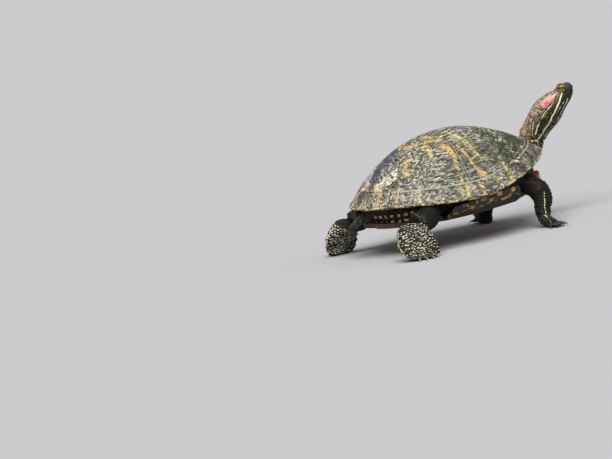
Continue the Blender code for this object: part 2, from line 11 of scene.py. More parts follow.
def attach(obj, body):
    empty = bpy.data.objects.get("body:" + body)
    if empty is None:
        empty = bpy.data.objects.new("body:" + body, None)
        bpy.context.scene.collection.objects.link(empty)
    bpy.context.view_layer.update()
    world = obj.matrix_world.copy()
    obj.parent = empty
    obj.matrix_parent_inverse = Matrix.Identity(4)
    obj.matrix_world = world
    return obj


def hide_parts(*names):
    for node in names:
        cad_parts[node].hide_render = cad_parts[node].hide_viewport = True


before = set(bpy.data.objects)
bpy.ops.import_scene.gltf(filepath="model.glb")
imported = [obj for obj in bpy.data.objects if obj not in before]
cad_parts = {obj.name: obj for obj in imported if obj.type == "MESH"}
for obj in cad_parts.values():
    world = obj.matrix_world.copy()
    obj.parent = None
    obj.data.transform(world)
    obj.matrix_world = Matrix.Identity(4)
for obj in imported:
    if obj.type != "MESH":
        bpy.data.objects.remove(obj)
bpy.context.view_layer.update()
mm = 0.001


# small helpers
def ease(value):  # 0 to 1 with soft ends
    value = np.clip(value, 0.0, 1.0)
    return value * value * (3 - 2 * value)


def blendIn(value, low, high):
    return ease((value - low) / (high - low))


def unit(vectors):
    return vectors / np.maximum(np.linalg.norm(vectors, axis=-1, keepdims=True), 1e-12)


def noise(points, size, seed=0):  # smooth value noise, -1 to 1
    spot = np.asarray(points, float) / np.asarray(size, float) + 37.7 + seed * 11.31
    cell = np.floor(spot).astype(np.int64)
    part = ease(spot - cell)
    total = np.zeros(len(spot))
    for corner in np.ndindex(2, 2, 2):
        x, y, z = (cell + corner).T & 0xFFFFFFFF
        h = (x * 374761393 + y * 668265263 + z * 974634777 + seed * 69069) & 0xFFFFFFFF
        h = ((h ^ (h >> 13)) * 1274126177) & 0xFFFFFFFF
        h = (h ^ (h >> 16)) / 4294967295.0
        total += np.prod(np.where(corner, part, 1 - part), axis=1) * h
    return total * 2 - 1


def layered(points, size, layers=3, seed=0):
    size = np.asarray(size, float)
    return sum(noise(points, size / 2**k, seed + k) / 2**k for k in range(layers)) / 1.6


def selectOnly(obj):
    bpy.ops.object.select_all(action="DESELECT")
    obj.select_set(True)
    bpy.context.view_layer.objects.active = obj


def newPiece(name, points, faces):
    mesh = bpy.data.meshes.new(name)
    mesh.from_pydata([tuple(p) for p in points], [], [tuple(f) for f in faces])
    mesh.update()
    obj = bpy.data.objects.new(name, mesh)
    bpy.context.scene.collection.objects.link(obj)
    return obj


def pointsOf(obj):
    spots = np.empty(len(obj.data.vertices) * 3, np.float32)
    obj.data.vertices.foreach_get("co", spots)
    return spots.reshape(-1, 3).astype(float)


def normalsOf(obj):
    found = np.empty(len(obj.data.vertices) * 3, np.float32)
    obj.data.vertices.foreach_get("normal", found)
    return found.reshape(-1, 3).astype(float)


def movePoints(obj, points):
    obj.data.vertices.foreach_set("co", np.asarray(points, np.float32).ravel())
    obj.data.update()


def keep(obj, name, values):  # one number at each point, for the finish to read
    if name in obj.data.attributes:
        obj.data.attributes.remove(obj.data.attributes[name])
    made = obj.data.attributes.new(name, "FLOAT", "POINT")
    made.data.foreach_set("value", np.asarray(values, np.float32))


def applied(obj, kind, **settings):
    selectOnly(obj)
    step = obj.modifiers.new("step", kind)
    for key, value in settings.items():
        setattr(step, key, value)
    bpy.ops.object.modifier_apply(modifier=step.name)


def tidyNormals(obj):
    selectOnly(obj)
    bpy.ops.object.mode_set(mode="EDIT")
    bpy.ops.mesh.select_all(action="SELECT")
    bpy.ops.mesh.normals_make_consistent(inside=False)
    bpy.ops.object.mode_set(mode="OBJECT")


def smoothShaded(obj, angle=None):
    selectOnly(obj)
    if angle:
        bpy.ops.object.shade_smooth_by_angle(angle=math.radians(angle))
    else:
        bpy.ops.object.shade_smooth()


def lineDistance(points, line):  # to a line of points, in the plane or in space
    points, line = np.asarray(points, float), np.asarray(line, float)
    best = np.full(len(points), 1e9)
    for a, b in zip(line, line[1:]):
        along = np.clip((points - a) @ (b - a) / max(1e-12, (b - a) @ (b - a)), 0, 1)
        best = np.minimum(best, np.linalg.norm(points - a - along[:, None] * (b - a), axis=1))
    return best


# camera, light and floor
view = {
    "azimuth": -28.0,  # the camera stands behind the turtle's right shoulder
    "elevation": 7.0,
    "roll": 9.35,
    "away": 8.0,
    "frameWide": 0.5887446,  # metres across the frame at the shell
    "shellPlace": (0.1392015, 0.0364598),  # metres right of and above the frame's middle
    "sensor": 36,
    "clip": (0.5, 120),
}
shell = {"centre": (-0.0215, 0.0, 0.0465), "pitch": 5.9}


def makeCamera():
    turn, up, roll = (math.radians(view[k]) for k in ("azimuth", "elevation", "roll"))
    flat = Vector((math.sin(turn), -math.cos(turn), 0.0))
    toCamera = flat * math.cos(up) + Vector((0.0, 0.0, math.sin(up)))
    level = Vector((math.cos(turn), math.sin(turn), 0.0))
    steep = toCamera.cross(level)
    right = level * math.cos(roll) - steep * math.sin(roll)
    above = level * math.sin(roll) + steep * math.cos(roll)
    across, high = view["shellPlace"]
    place = Vector(shell["centre"]) - right * across - above * high + toCamera * view["away"]
    bpy.ops.object.camera_add(location=place)
    camera = bpy.context.object
    camera.name = "studioCamera"
    camera.rotation_euler = Matrix((right, above, toCamera)).transposed().to_euler()
    camera.data.sensor_width = view["sensor"]
    camera.data.lens = view["sensor"] * view["away"] / view["frameWide"]
    camera.data.clip_start, camera.data.clip_end = view["clip"]
    bpy.context.scene.camera = camera


studio = {
    "air": (0.82, 0.82, 0.86), "airStrength": 0.34,
    "paper": (0.352, 0.350, 0.360), "paperRoughness": 0.9, "paperSize": 60,
    "key": {"from": (-0.45, -0.75, 1.35), "strength": 4.8, "spread": 50,
            "colour": (1.0, 0.985, 0.96)},
    "fill": {"from": (0.9, -1.0, 1.1), "strength": 0.7, "spread": 80,
             "colour": (0.93, 0.95, 1.0)},
}


def makeStudio():
    world = bpy.data.worlds.new("studioAir")
    world.use_nodes = True
    air = world.node_tree.nodes["Background"]
    air.inputs["Color"].default_value = (*studio["air"], 1)
    air.inputs["Strength"].default_value = studio["airStrength"]
    bpy.context.scene.world = world
    for name in ("key", "fill"):
        light = studio[name]
        bpy.ops.object.light_add(type="SUN")
        lamp = bpy.context.object
        lamp.name = name + "Light"
        lamp.rotation_euler = Vector(light["from"]).to_track_quat("Z", "Y").to_euler()
        lamp.data.energy = light["strength"]
        lamp.data.angle = math.radians(light["spread"])
        lamp.data.color = light["colour"]
    bpy.ops.mesh.primitive_plane_add(size=studio["paperSize"], location=(0, 0, 0))
    floor = bpy.context.object
    floor.name = "studioFloor"
    finish = bpy.data.materials.new("studioPaper")
    finish.use_nodes = True
    paper = finish.node_tree.nodes["Principled BSDF"]
    paper.inputs["Base Color"].default_value = (*studio["paper"], 1)
    paper.inputs["Roughness"].default_value = studio["paperRoughness"]
    floor.data.materials.append(finish)
    bpy.context.scene.view_settings.view_transform = "Standard"


makeCamera()
makeStudio()
print("camera, light and floor are ready")

# the shell's own surface, in the frame of the tilted shell, as in the solids
carapace = {
    "halfLength": 0.101, "halfWidth": 0.0735, "rearFullness": 0.09, "sidePower": 0.9,
    "notch": 0.04, "dome": 0.0615, "power": 2.03, "powerShift": -0.09,
    "frontRise": 0.017, "rearRise": 0.0172, "marginalStart": 0.87, "scuteThickness": 0.003,
    "nuchalHalf": 0.006, "marginals": 12,
}


def fromShell(points):
    points = np.asarray(points, float)
    tip = math.radians(shell["pitch"])
    x = points[:, 0] * math.cos(tip) - points[:, 2] * math.sin(tip)
    z = points[:, 0] * math.sin(tip) + points[:, 2] * math.cos(tip)
    return np.stack([x, points[:, 1], z], 1) + shell["centre"]


def toShell(points):
    points = np.asarray(points, float) - shell["centre"]
    tip = math.radians(shell["pitch"])
    x = points[:, 0] * math.cos(tip) + points[:, 2] * math.sin(tip)
    z = -points[:, 0] * math.sin(tip) + points[:, 2] * math.cos(tip)
    return np.stack([x, points[:, 1], z], 1)


def rimPoint(turn):
    c, s = np.cos(turn), np.sin(turn)
    x = carapace["halfLength"] * c * (1 - carapace["notch"] * np.maximum(0, c) ** 30)
    y = carapace["halfWidth"] * np.sign(s) * np.abs(s) ** carapace["sidePower"]
    return x, y * (1 - carapace["rearFullness"] * c)


def rimRise(turn):
    c = np.cos(turn)
    rear = np.maximum(0, -c)
    rise = carapace["frontRise"] * np.maximum(0, c) ** 1.6
    return rise + carapace["rearRise"] * (rear**1.35 - 0.2 * rear**8)


turnTable = np.linspace(0, math.pi, 4001)
rimX, rimY = rimPoint(turnTable)
angleTable = np.arctan2(rimY, rimX)


def shareOf(x, y):  # 0 at the middle and 1 at the rim, with the rim's turn there
    turn = np.interp(np.arctan2(np.abs(y), x), angleTable, turnTable)
    rx, ry = rimPoint(turn)
    return np.hypot(x, y) / np.hypot(rx, ry), np.copysign(turn, y)


def domeAt(share, turn):
    power = carapace["power"] + carapace["powerShift"] * np.cos(turn)
    return carapace["dome"] * (1 - share**power) + rimRise(turn) * share**2


def domeHeight(x, y):
    return domeAt(*shareOf(x, y))


def wayOut(x, y, step=0.0004):  # out of the dome, from its slope
    slopeX = (domeHeight(x + step, y) - domeHeight(x - step, y)) / (2 * step)
    slopeY = (domeHeight(x, y + step) - domeHeight(x, y - step)) / (2 * step)
    return unit(np.stack([-slopeX, -slopeY, np.ones(len(x))], 1))


def outlineOf(node):  # a plate's outline seen from above, anticlockwise, from its CAD solid
    spots = toShell(pointsOf(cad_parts[node]))
    grid = np.round(spots / 2e-6)  # points that meet become one
    _, first, index = np.unique(grid, axis=0, return_index=True, return_inverse=True)
    spots, index = spots[first], index.reshape(-1)
    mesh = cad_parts[node].data
    mesh.calc_loop_triangles()
    faces = np.empty(len(mesh.loop_triangles) * 3, np.int32)
    mesh.loop_triangles.foreach_get("vertices", faces)
    faces = index[faces.reshape(-1, 3)]
    a, b, c = (spots[faces[:, k]] for k in range(3))
    facing = unit(np.cross(b - a, c - a))[:, 2]
    following = {}  # the edges of all that faces down, in order
    for face in faces[facing < -0.02]:
        for i in range(3):
            following[(face[(i + 1) % 3], face[i])] = True
    edges = {start: end for start, end in following if (end, start) not in following}
    loop = [next(iter(edges))]
    while edges[loop[-1]] != loop[0]:
        loop.append(edges[loop[-1]])
    return spots[loop][:, :2]


def insideOf(points, outline):
    hit = np.zeros(len(points), bool)
    for a, b in zip(outline, np.roll(outline, -1, axis=0)):
        if a[1] == b[1]:
            continue
        crosses = (a[1] > points[:, 1]) != (b[1] > points[:, 1])
        at = a[0] + (points[:, 1] - a[1]) * (b[0] - a[0]) / (b[1] - a[1])
        hit ^= crosses & (points[:, 0] < at)
    return hit


def plate(name, outline, spacing, high, low, deep=0.004):  # fine above and coarse below
    closed = np.vstack([outline, outline[:1]])
    lengths = np.linalg.norm(np.diff(closed, axis=0), axis=1)
    reach = np.concatenate([[0], np.cumsum(lengths)])
    count = int(reach[-1] / spacing)
    at = np.arange(count) * reach[-1] / count
    edge = np.stack([np.interp(at, reach, closed[:, k]) for k in (0, 1)], 1)

    def filled(step):
        lowest, highest = outline.min(0), outline.max(0)
        grid = []  # rows of even triangles
        for k, y in enumerate(np.arange(lowest[1] + step / 2, highest[1], step * 0.866)):
            x = np.arange(lowest[0] + step * (0.25 + 0.5 * (k % 2)), highest[0], step)
            grid.append(np.stack([x, np.full_like(x, y)], 1))
        grid = np.vstack(grid)
        grid = grid[insideOf(grid, outline)]
        grid = grid[lineDistance(grid, closed) > step * 0.55]
        spots = np.vstack([edge, grid])
        rim = [(i, (i + 1) % count) for i in range(count)]
        flat = geometry.delaunay_2d_cdt([Vector(p) for p in spots], rim, [], 1, 1e-8)
        return np.array([tuple(p) for p in flat[0]]), flat[2]

    top, topFaces = filled(spacing)
    bottom, bottomFaces = filled(deep)
    points = np.vstack([
        np.column_stack([top, high(top[:, 0], top[:, 1])]),
        np.column_stack([bottom, low(bottom[:, 0], bottom[:, 1])]),
    ])
    faces = [tuple(f) for f in topFaces]
    start = len(top)
    faces += [tuple(start + i for i in reversed(f)) for f in bottomFaces]
    for i in range(count):
        j = (i + 1) % count
        faces.append((i, start + i, start + j, j))
    obj = newPiece(name, fromShell(points), faces)
    return obj, len(top), lineDistance(top, closed)


# markings of the shell, as lines and spots seen from above in mm, the same on both sides
strokes = [  # line, half width, and how orange it is from 0 to 1
    {"line": ((-14, -31), (-10, -37), (-11, -44)), "half": 2.9, "warm": 0.70},
    {"line": ((-11, -44), (-13, -50), (-15, -54)), "half": 1.3, "warm": 0.35},
    {"line": ((-29, -23), (-26, -26), (-27, -31), (-31, -36)), "half": 2.2, "warm": 0.22},
    {"line": ((-47, -25), (-54, -25), (-58, -29), (-60, -34)), "half": 2.8, "warm": 0.72},
    {"line": ((5, -20), (6, -24), (10, -31), (11, -39)), "half": 2.8, "warm": 0.08},
    {"line": ((11, -39), (12, -45), (14, -51)), "half": 1.1, "warm": 0.20},
    {"line": ((0, -36), (1, -40), (2, -49), (2, -57), (6, -62)), "half": 0.9, "warm": 0.80},
    {"line": ((4, -60), (9, -63.5)), "half": 1.9, "warm": 0.95},
    {"line": ((-38, -4.5), (-31, -12)), "half": 3.4, "warm": 0.78},
    {"line": ((-22, -18), (-17, -21), (-11, -22.5)), "half": 2.4, "warm": 0.50},
    {"line": ((-20, -6), (-14, -14), (-7, -19)), "half": 1.9, "warm": 0.66},
    {"line": ((50, -22), (53, -33), (51, -45)), "half": 0.8, "warm": 0.10},
    {"line": ((28, -6), (30, -15)), "half": 0.9, "warm": 0.15},
    {"line": ((66, -6), (68, -15)), "half": 1.2, "warm": 0.15},
    {"line": ((-82, -7), (-84, -16), (-86, -22)), "half": 2.2, "warm": 0.85},
    {"line": ((-19, -63), (-17, -67), (-20, -71)), "half": 1.6, "warm": 0.25},
    {"line": ((33, -57), (32, -66)), "half": 1.3, "warm": 0.12},
]
patches = {  # middle and radius in mm; one with its middle's y below 0 lies on both sides
    "cream": ((-75, -18, 9), (-81, -13, 7), (-68, -22, 7)),
    "moss": (
        (50, -42, 14), (60, -33, 12), (43, -50, 10), (68, -20, 11), (56, -14, 10), (38, -30, 9),
        (82, -14, 8), (-50, -62, 6), (-44, -66, 6),
    ),
    # painted shade and painted sky reflection: a dark blue band along the rear slope of the shell
    "shadeAndSkyReflection": (
        (-60, 8, 19), (-78, 9, 20), (-44, 10, 17), (-88, 7, 17), (-66, 34, 18), (-29, 13, 14),
    ),
    "pink": ((38, -62, 8), (60, -52, 8), (-60, -56, 7), (22, -68, 7)),
}


def inPatches(points, name):
    spots = np.zeros(len(points))
    for x, y, radius in patches[name]:
        aside = np.abs(points[:, 1]) + y if y < 0 else points[:, 1] - y
        away = np.hypot(points[:, 0] - x, aside) / radius
        spots = np.maximum(spots, 1 - away)
    return spots


def markShell(obj, seam, extra=None, extraWarm=0.5):
    spots = toShell(pointsOf(obj)) / mm
    flat = np.stack([spots[:, 0], -np.abs(spots[:, 1])], 1)
    flat = flat + np.stack([noise(spots, 4, 3), noise(spots, 4, 4)], 1) * 0.55
    stroke, warm = np.full(len(flat), 9.0), np.zeros(len(flat))
    for mark in strokes:
        away = lineDistance(flat, mark["line"]) - mark["half"]
        warm = np.where(away < stroke, mark["warm"], warm)
        stroke = np.minimum(stroke, away)
    if extra is not None:
        warm = np.where(extra < stroke, extraWarm, warm)
        stroke = np.minimum(stroke, extra)
    keep(obj, "stroke", stroke)
    keep(obj, "warm", warm)
    keep(obj, "seam", seam)
    rearward = blendIn(-spots[:, 0], -60, 60)
    inward = blendIn(25 - np.abs(spots[:, 1]), -25, 25)
    keep(obj, "worn", 0.5 * rearward + 0.5 * inward)
    wobble = layered(spots, 7, 3, 9) * 0.5
    for name in patches:
        keep(obj, name, inPatches(spots, name) + wobble)


horn = {
    "scuteGrid": 0.00072, "sink": 0.00012,
    "shoulder": 0.0011, "shoulderDrop": 0.00045,
    "ridge": 0.00026, "wrinkle": 0.00022, "ring": 0.00014, "ringGap": 1.9,
    "line": 0.00017, "lineGap": 2.9, "lineReach": 74,
}


def scuteRelief(points, seam):  # growth ridges run along the shell, rings follow the seams
    spots = points / mm
    warped = spots + np.stack([noise(spots, 9, k) for k in (5, 6, 7)], 1) * 1.4
    along = 1 - np.abs(layered(warped, (19, 3.4, 3.4), 2, 11)) * 2.2
    outward = shareOf(points[:, 0], points[:, 1])[0] * horn["lineReach"] + 0.35 * spots[:, 1]
    sway = 3.2 * layered(spots, (26, 11, 11), 2, 14)
    lines = np.sin(outward / horn["lineGap"] * math.tau + sway)
    lines = lines * (0.35 + 0.65 * blendIn(noise(spots, 15, 15), -0.5, 0.25))
    fine = layered(spots, (5.5, 1.5, 1.5), 2, 21)
    rings = np.sin(seam / horn["ringGap"] * math.tau + 3 * noise(spots, 12, 31))
    rings = rings * blendIn(-seam, -11, -4)
    worn = blendIn(seam, 0.8, 3.5)
    lift = horn["ridge"] * along * worn + horn["line"] * lines * (0.3 + 0.7 * worn)
    lift += horn["wrinkle"] * fine * (0.4 + 0.6 * worn) + horn["ring"] * rings
    lift -= horn["shoulderDrop"] * (1 - blendIn(seam, -0.5, horn["shoulder"] / mm)) ** 2
    return lift - horn["sink"], 0.75 * lines + 0.30 * along + 0.30 * rings + 0.30 * fine


def makeScute(node):
    outline = outlineOf(node)
    obj, topCount, seam = plate(
        node + "Horn", outline, horn["scuteGrid"], domeHeight,
        lambda x, y: domeHeight(x, y) - carapace["scuteThickness"])
    spots = pointsOf(obj)
    seamAll = np.zeros(len(spots))
    seamAll[:topCount] = seam / mm
    flat = toShell(spots)
    out = wayOut(flat[:topCount, 0], flat[:topCount, 1])
    lift, crest = scuteRelief(flat[:topCount], seamAll[:topCount])
    flat[:topCount] += out * lift[:, None]
    movePoints(obj, fromShell(flat))
    hem = blendIn(shareOf(flat[:, 0], flat[:, 1])[0], 0.845, 0.862)
    markShell(obj, np.maximum(seamAll, hem * 0.8))  # the seam along the marginals is soft
    keep(obj, "crest", np.concatenate([crest, np.zeros(len(flat) - topCount)]))
    smoothShaded(obj, 50)
    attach(obj, "root")
    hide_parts(node)
    return obj


scutes = [makeScute(name) for name in sorted(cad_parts) if "scute" in name]
print("scutes:", len(scutes), "with", sum(len(o.data.polygons) for o in scutes), "faces")

# the marginals, one ring of plates round the shell
rim = {
    "step": 0.00078, "across": 15, "beneath": 9, "groove": 0.00035, "grooveHalf": 0.6,
    "barHalf": 1.7, "barShift": 8.5, "barWarm": 0.42,
}


def makeRim():
    fine = np.linspace(0, math.pi, 6001)
    x, y = rimPoint(fine)
    reach = np.concatenate([[0], np.cumsum(np.hypot(np.diff(x), np.diff(y)))])
    each = (reach[-1] - carapace["nuchalHalf"]) / carapace["marginals"]
    count = int(reach[-1] / rim["step"])
    at = np.linspace(0, reach[-1], count + 1)
    place = (at - carapace["nuchalHalf"]) / each  # which marginal, and how far along it
    toSeam = np.abs(place - np.round(place)) * each / mm
    nuchal = carapace["nuchalHalf"]
    toSeam = np.where(at < nuchal * 0.9, np.abs(nuchal - at) / mm, toSeam)
    toMiddle = (place - np.floor(place) - 0.5) * each / mm
    turns = np.interp(at, reach, fine)
    order = np.concatenate([-np.arange(count, 0, -1), np.arange(0, count)])
    side, index = np.where(order < 0, -1, 1), np.abs(order)
    turn, toSeam, toMiddle = turns[index] * side, toSeam[index], toMiddle[index]
    inSeam = np.exp(-(toSeam / rim["grooveHalf"]) ** 2)
    bulge = 0.4 * np.sin(np.clip(toSeam / (each / mm) * 2, 0, 1) * math.pi / 2) ** 2
    rise, rear = rimRise(turn), np.maximum(0, -np.cos(turn))
    start = carapace["marginalStart"] + 0.0042
    high = domeAt(carapace["marginalStart"], turn)
    edge = 1 - (0.002 + 0.013 * rear**2) * inSeam + 0.003 * bulge
    columns, lips = [], []
    for part in np.linspace(0, 1, rim["across"]):
        flare = 0.5 * np.abs(np.cos(turn)) * part * (1 - part)
        drop = 0.0004 * part**6 + 0.0004 * (1 - part) ** 6
        height = high + (rise - high) * (part + flare) - rim["groove"] * inSeam - drop
        columns.append((start + (edge - start) * part, height))
        lips.append((1 - part) * 9)
    xr = rimPoint(turn)[0]
    beside = ease((xr + 0.056) / 0.014) * ease((0.060 - xr) / 0.014)
    flat = rise - 0.0022
    thin = high - 0.0036
    middle = (flat - 0.004 + thin) * 0.5 * (1 - beside) + flat * beside
    inner = thin * (1 - beside) + (flat + 0.001) * beside
    under = [(edge - 0.0012, rise - 0.0011), (edge - 0.004, rise - 0.0019)]
    for part in np.linspace(0, 1, rim["beneath"]):
        share = (edge - 0.009) * (1 - part) + (start + 0.02) * part
        under.append((share, flat * (1 - part) + middle * part + 0.0005 * inSeam))
    under += [((start + 0.01) + 0 * edge, (middle + inner) / 2), (start + 0 * edge, inner)]
    for depth, (share, height) in enumerate(under):
        columns.append((share, height))
        lips.append(-0.6 - depth)
    rx, ry = rimPoint(turn)
    rows = [np.stack([rx * share, ry * share, high + 0 * rx], 1) for share, high in columns]
    points = np.stack(rows, 1)  # stations x columns
    stations, wide = points.shape[:2]
    spots = points.reshape(-1, 3)
    top = np.tile(np.arange(wide) < rim["across"], stations)
    seam = np.repeat(toSeam, wide)
    relief, crest = scuteRelief(spots, seam)
    column = np.arange(wide)
    inward = np.tile((column > 0) & (column < rim["across"] - 1), stations)
    spots[:, 2] += np.where(inward, 0.8 * relief + 0.0001, 0)
    faces = []
    for i in range(stations):
        j = (i + 1) % stations
        for k in range(wide):
            n = (k + 1) % wide
            faces.append((i * wide + k, j * wide + k, j * wide + n, i * wide + n))
    obj = newPiece("marginalHorn", fromShell(spots), faces)
    tidyNormals(obj)
    lip = np.tile(np.array(lips), stations)
    middle, half = np.repeat(toMiddle, wide), each / mm / 2
    aside = (middle - rim["barShift"] + half) % (each / mm) - half
    barHalf = rim["barHalf"] * (1 + 0.6 * noise(spots / mm, 9, 42))
    bar = np.abs(aside + noise(spots / mm, 5, 41) * 0.9) - barHalf
    bar = bar + np.where(lip > 6, 1.2, 0)
    bar = bar + 2.6 * blendIn(np.cos(np.repeat(turn, wide)), 0.1, 0.5)  # fading to the front
    ring = np.hypot(middle / 1.25, lip + 4.2) - 3.6  # dark ovals outlined beneath
    bar = np.where(lip < 0, np.abs(ring) - 0.75, bar)
    markShell(obj, np.where(top, seam, np.minimum(seam, 3)), bar, rim["barWarm"])
    keep(obj, "crest", crest)
    keep(obj, "lip", lip)
    keep(obj, "beneath", np.where(lip < -0.3, 1.0, 0.0))
    smoothShaded(obj, 50)
    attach(obj, "root")
    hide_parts("marginal_rim")
    return obj


marginals = makeRim()
print("marginals:", len(marginals.data.polygons), "faces")

# the plastron: an outline, and the seams between its plates
plastron = {
    "thickness": 0.005, "grid": 0.0009,
    "seams": (0.079, 0.052, 0.014, -0.030, -0.066),  # where the cross seams meet the middle
    "sweep": (-0.008, -0.006, 0.004, -0.006, 0.010),  # how far each runs forward at the edge
    "ports": (-0.030, -0.005, 0.021, 0.043), "portRow": 0.0620, "port": (0.0098, 0.0046),
    "ovals": ((0.0875, 0.008), (0.066, 0.016), (0.034, 0.018), (-0.008, 0.019),
              (-0.048, 0.018), (-0.079, 0.012)),
    "ovalSize": (0.012, 0.009), "endOval": (0.006, 0.005), "endPlates": 0.078,
}
bridge = {
    "rear": -0.044, "front": 0.048, "fade": 0.010, "inner": 0.042, "rise": 0.026,
    "low": -0.0066, "high": -0.0026,
}


def plastronBottom(x):
    front = -0.022 + 0.014 * (np.maximum(0, 0.045 - x) / 0.14) ** 1.8
    return np.where(x < 0.045, front, -0.022 + 0.007 * ((x - 0.045) / 0.05) ** 2)


def besideBridge(x):
    start = ease((x - bridge["rear"]) / bridge["fade"])
    return start * ease((bridge["front"] - x) / bridge["fade"])


def bridgeShare(x, y):
    return besideBridge(x) * ease((np.abs(y) - bridge["inner"]) / bridge["rise"])


def plastronLow(x, y):
    up = bridgeShare(x, y)
    return plastronBottom(x) * (1 - up) + bridge["low"] * up


def plastronHigh(x, y):
    up = bridgeShare(x, y)
    lip = 0.0025 * ease((x - 0.070) / 0.025)
    return (plastronBottom(x) + plastron["thickness"] + lip) * (1 - up) + bridge["high"] * up


def makePlastron():
    outline = outlineOf("plastron")
    obj, topCount, _ = plate(
        "plastronHorn", outline[::-1] * (1, -1), plastron["grid"],
        lambda x, y: -plastronLow(x, y), lambda x, y: -plastronHigh(x, y))
    # the plate is made with its outer side up, then turned over about the shell's length
    flat = toShell(pointsOf(obj)) * (1, -1, -1)
    closed = np.vstack([outline, outline[:1]])
    edge = lineDistance(flat[:topCount, :2], closed) / mm
    x, y = flat[:topCount, 0], flat[:topCount, 1]
    seam = np.abs(y + 0.0004 * np.sin(x * 400)) / mm
    for place, sweep in zip(plastron["seams"], plastron["sweep"]):
        line = place + sweep * (np.abs(y) / 0.04) ** 1.3 + 0.0005 * np.sin(np.abs(y) * 300)
        seam = np.minimum(seam, np.abs(x - line) / mm)
    toBridge = np.abs(np.abs(y) - 0.047 - 0.001 * np.sin(x * 120)) / mm
    seam = np.where((x < 0.046) & (x > -0.042), np.minimum(seam, toBridge), seam)
    groove = 0.0004 * np.exp(-(seam / 0.55) ** 2)
    lift = groove + 0.0009 * (1 - blendIn(edge, -1.0, 2.0)) ** 2
    lift -= 0.00007 * np.sin(seam * 3.1 + 2 * noise(flat[:topCount] / mm, 10, 51))
    flat[:topCount, 2] += lift
    full = np.full(len(flat), 9.0)
    full[:topCount] = seam
    movePoints(obj, fromShell(flat))
    tidyNormals(obj)
    keep(obj, "seam", full)
    rimward = np.full(len(flat), 0.0)
    rimward[:topCount] = edge
    keep(obj, "edge", rimward)
    ovals = np.full(len(flat), 9.0)  # a dark figure in each plate
    for px, py in plastron["ovals"]:
        long, wide = plastron["endOval" if abs(px) > plastron["endPlates"] else "ovalSize"]
        away = np.hypot((flat[:, 0] - px) / long, (np.abs(flat[:, 1]) - py) / wide)
        ovals = np.minimum(ovals, away)
    keep(obj, "oval", ovals + layered(flat / mm, 6, 2, 61) * 0.35)
    wide, high = plastron["port"]
    ports = np.full(len(flat), 9.0)  # a dark figure on the bridge below each marginal
    for px in plastron["ports"]:
        up = (np.abs(flat[:, 1]) - plastron["portRow"]) / high
        ports = np.minimum(ports, np.hypot((flat[:, 0] - px) / wide, up))
    keep(obj, "port", ports + layered(flat / mm, 5, 2, 62) * 0.45)
    inBridge = (flat[:, 0] < 0.050) & (flat[:, 0] > -0.046)
    # the bridge: the finish paints it near black, as painted shade under the shell
    keep(obj, "side", inBridge * blendIn(np.abs(flat[:, 1]), 0.040, 0.047))
    keep(obj, "gular", blendIn(flat[:, 0], 0.078, 0.084))
    smoothShaded(obj, 50)
    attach(obj, "root")
    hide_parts("plastron")
    return obj


belly = makePlastron()
print("plastron:", len(belly.data.polygons), "faces")

# flesh: rings along curves, (middle, half width, height above, depth below) in mm, right side;
# the skin lies inside the solids by the depth of its scales
bodyShift = -21.5
coatDepth = 0.38
headPose = {"yaw": -27.0, "pitch": 36.0, "eyeLevel": (137.7, -1.0, 122.0)}
neckRows = (
    ((66, 3, 55), 15.5, 11, 12), ((82, 8, 58), 15.5, 10, 10.5), ((95, 14, 61), 15, 7.2, 10.2),
    ((105, 18.5, 68), 14, 6.9, 10.9), ((108.6, 18.5, 77.5), 13.6, 13.0, 12.2),
    ((111, 16.4, 84), 13.2, 12.3, 13.9), ((114, 13.8, 90), 13, 12.2, 14.5),
)
headProfile = (  # along the head from between the eyes: place, half width, top and bottom
    (-27.0, 12.9, 7.0, -22.6), (-20.5, 13.8, 6.9, -21.4), (-13.5, 13.0, 5.4, -19.0),
    (-7.0, 11.2, 4.2, -17.2), (-2.0, 9.7, 3.7, -15.8), (2.0, 8.0, 3.5, -13.7),
    (4.9, 6.4, 3.1, -10.5), (6.9, 4.6, 2.0, -5.7),
)
limbRows = {
    "foreleg": (
        ((48, -31, 50), 9, 9, 9.5), ((58.5, -41.5, 44), 9.5, 9.8, 9.5),
        ((67, -49, 36.5), 9.5, 10.8, 10.2), ((69.2, -53, 27.5), 8.5, 9.8, 9.8),
        ((66.5, -54.5, 19.5), 7.5, 8, 8), ((65.5, -56, 12), 7.3, 7.6, 7.6),
    ),
    "forefoot": (
        ((65, -56, 14), 6.8, 6, 6), ((65.5, -58, 8.5), 8, 5.6, 6.6),
        ((67, -63.5, 5.2), 9.5, 4.8, 4.8),
        ((68.5, -69, 3.6), 10.5, 3.6, 4.2), ((69.5, -72.5, 2.4), 10, 2.6, 3.1),
    ),
    "hindleg": (
        ((-42, -29, 48), 12, 11, 12), ((-50, -42, 45), 12, 11.5, 11.5),
        ((-57.5, -54, 37), 11.5, 12, 11.5), ((-68, -60, 32.5), 11, 11.5, 11),
        ((-79, -63.5, 30), 10.5, 10.5, 10.5),
    ),
    "hindfoot": (
        ((-84, -63.5, 31), 12, 7.5, 7.5), ((-85.5, -68, 25), 16, 8.5, 8),
        ((-86.5, -74, 16.5), 19, 7, 6.5),
        ((-84.2, -78.6, 8.4), 18, 5, 5.5), ((-85.4, -82.3, 1.9), 14.5, 3.2, 4.8),
    ),
    "tail": (
        ((-74, 2, 43), 7.2, 7, 7), ((-87, 5, 42), 6, 5.8, 5.8), ((-96.5, 11, 37.5), 5, 4.6, 4.6),
        ((-101.5, 20, 30.5), 3.4, 3.2, 3.2), ((-102.5, 29, 26), 1.8, 1.8, 1.8),
    ),
}
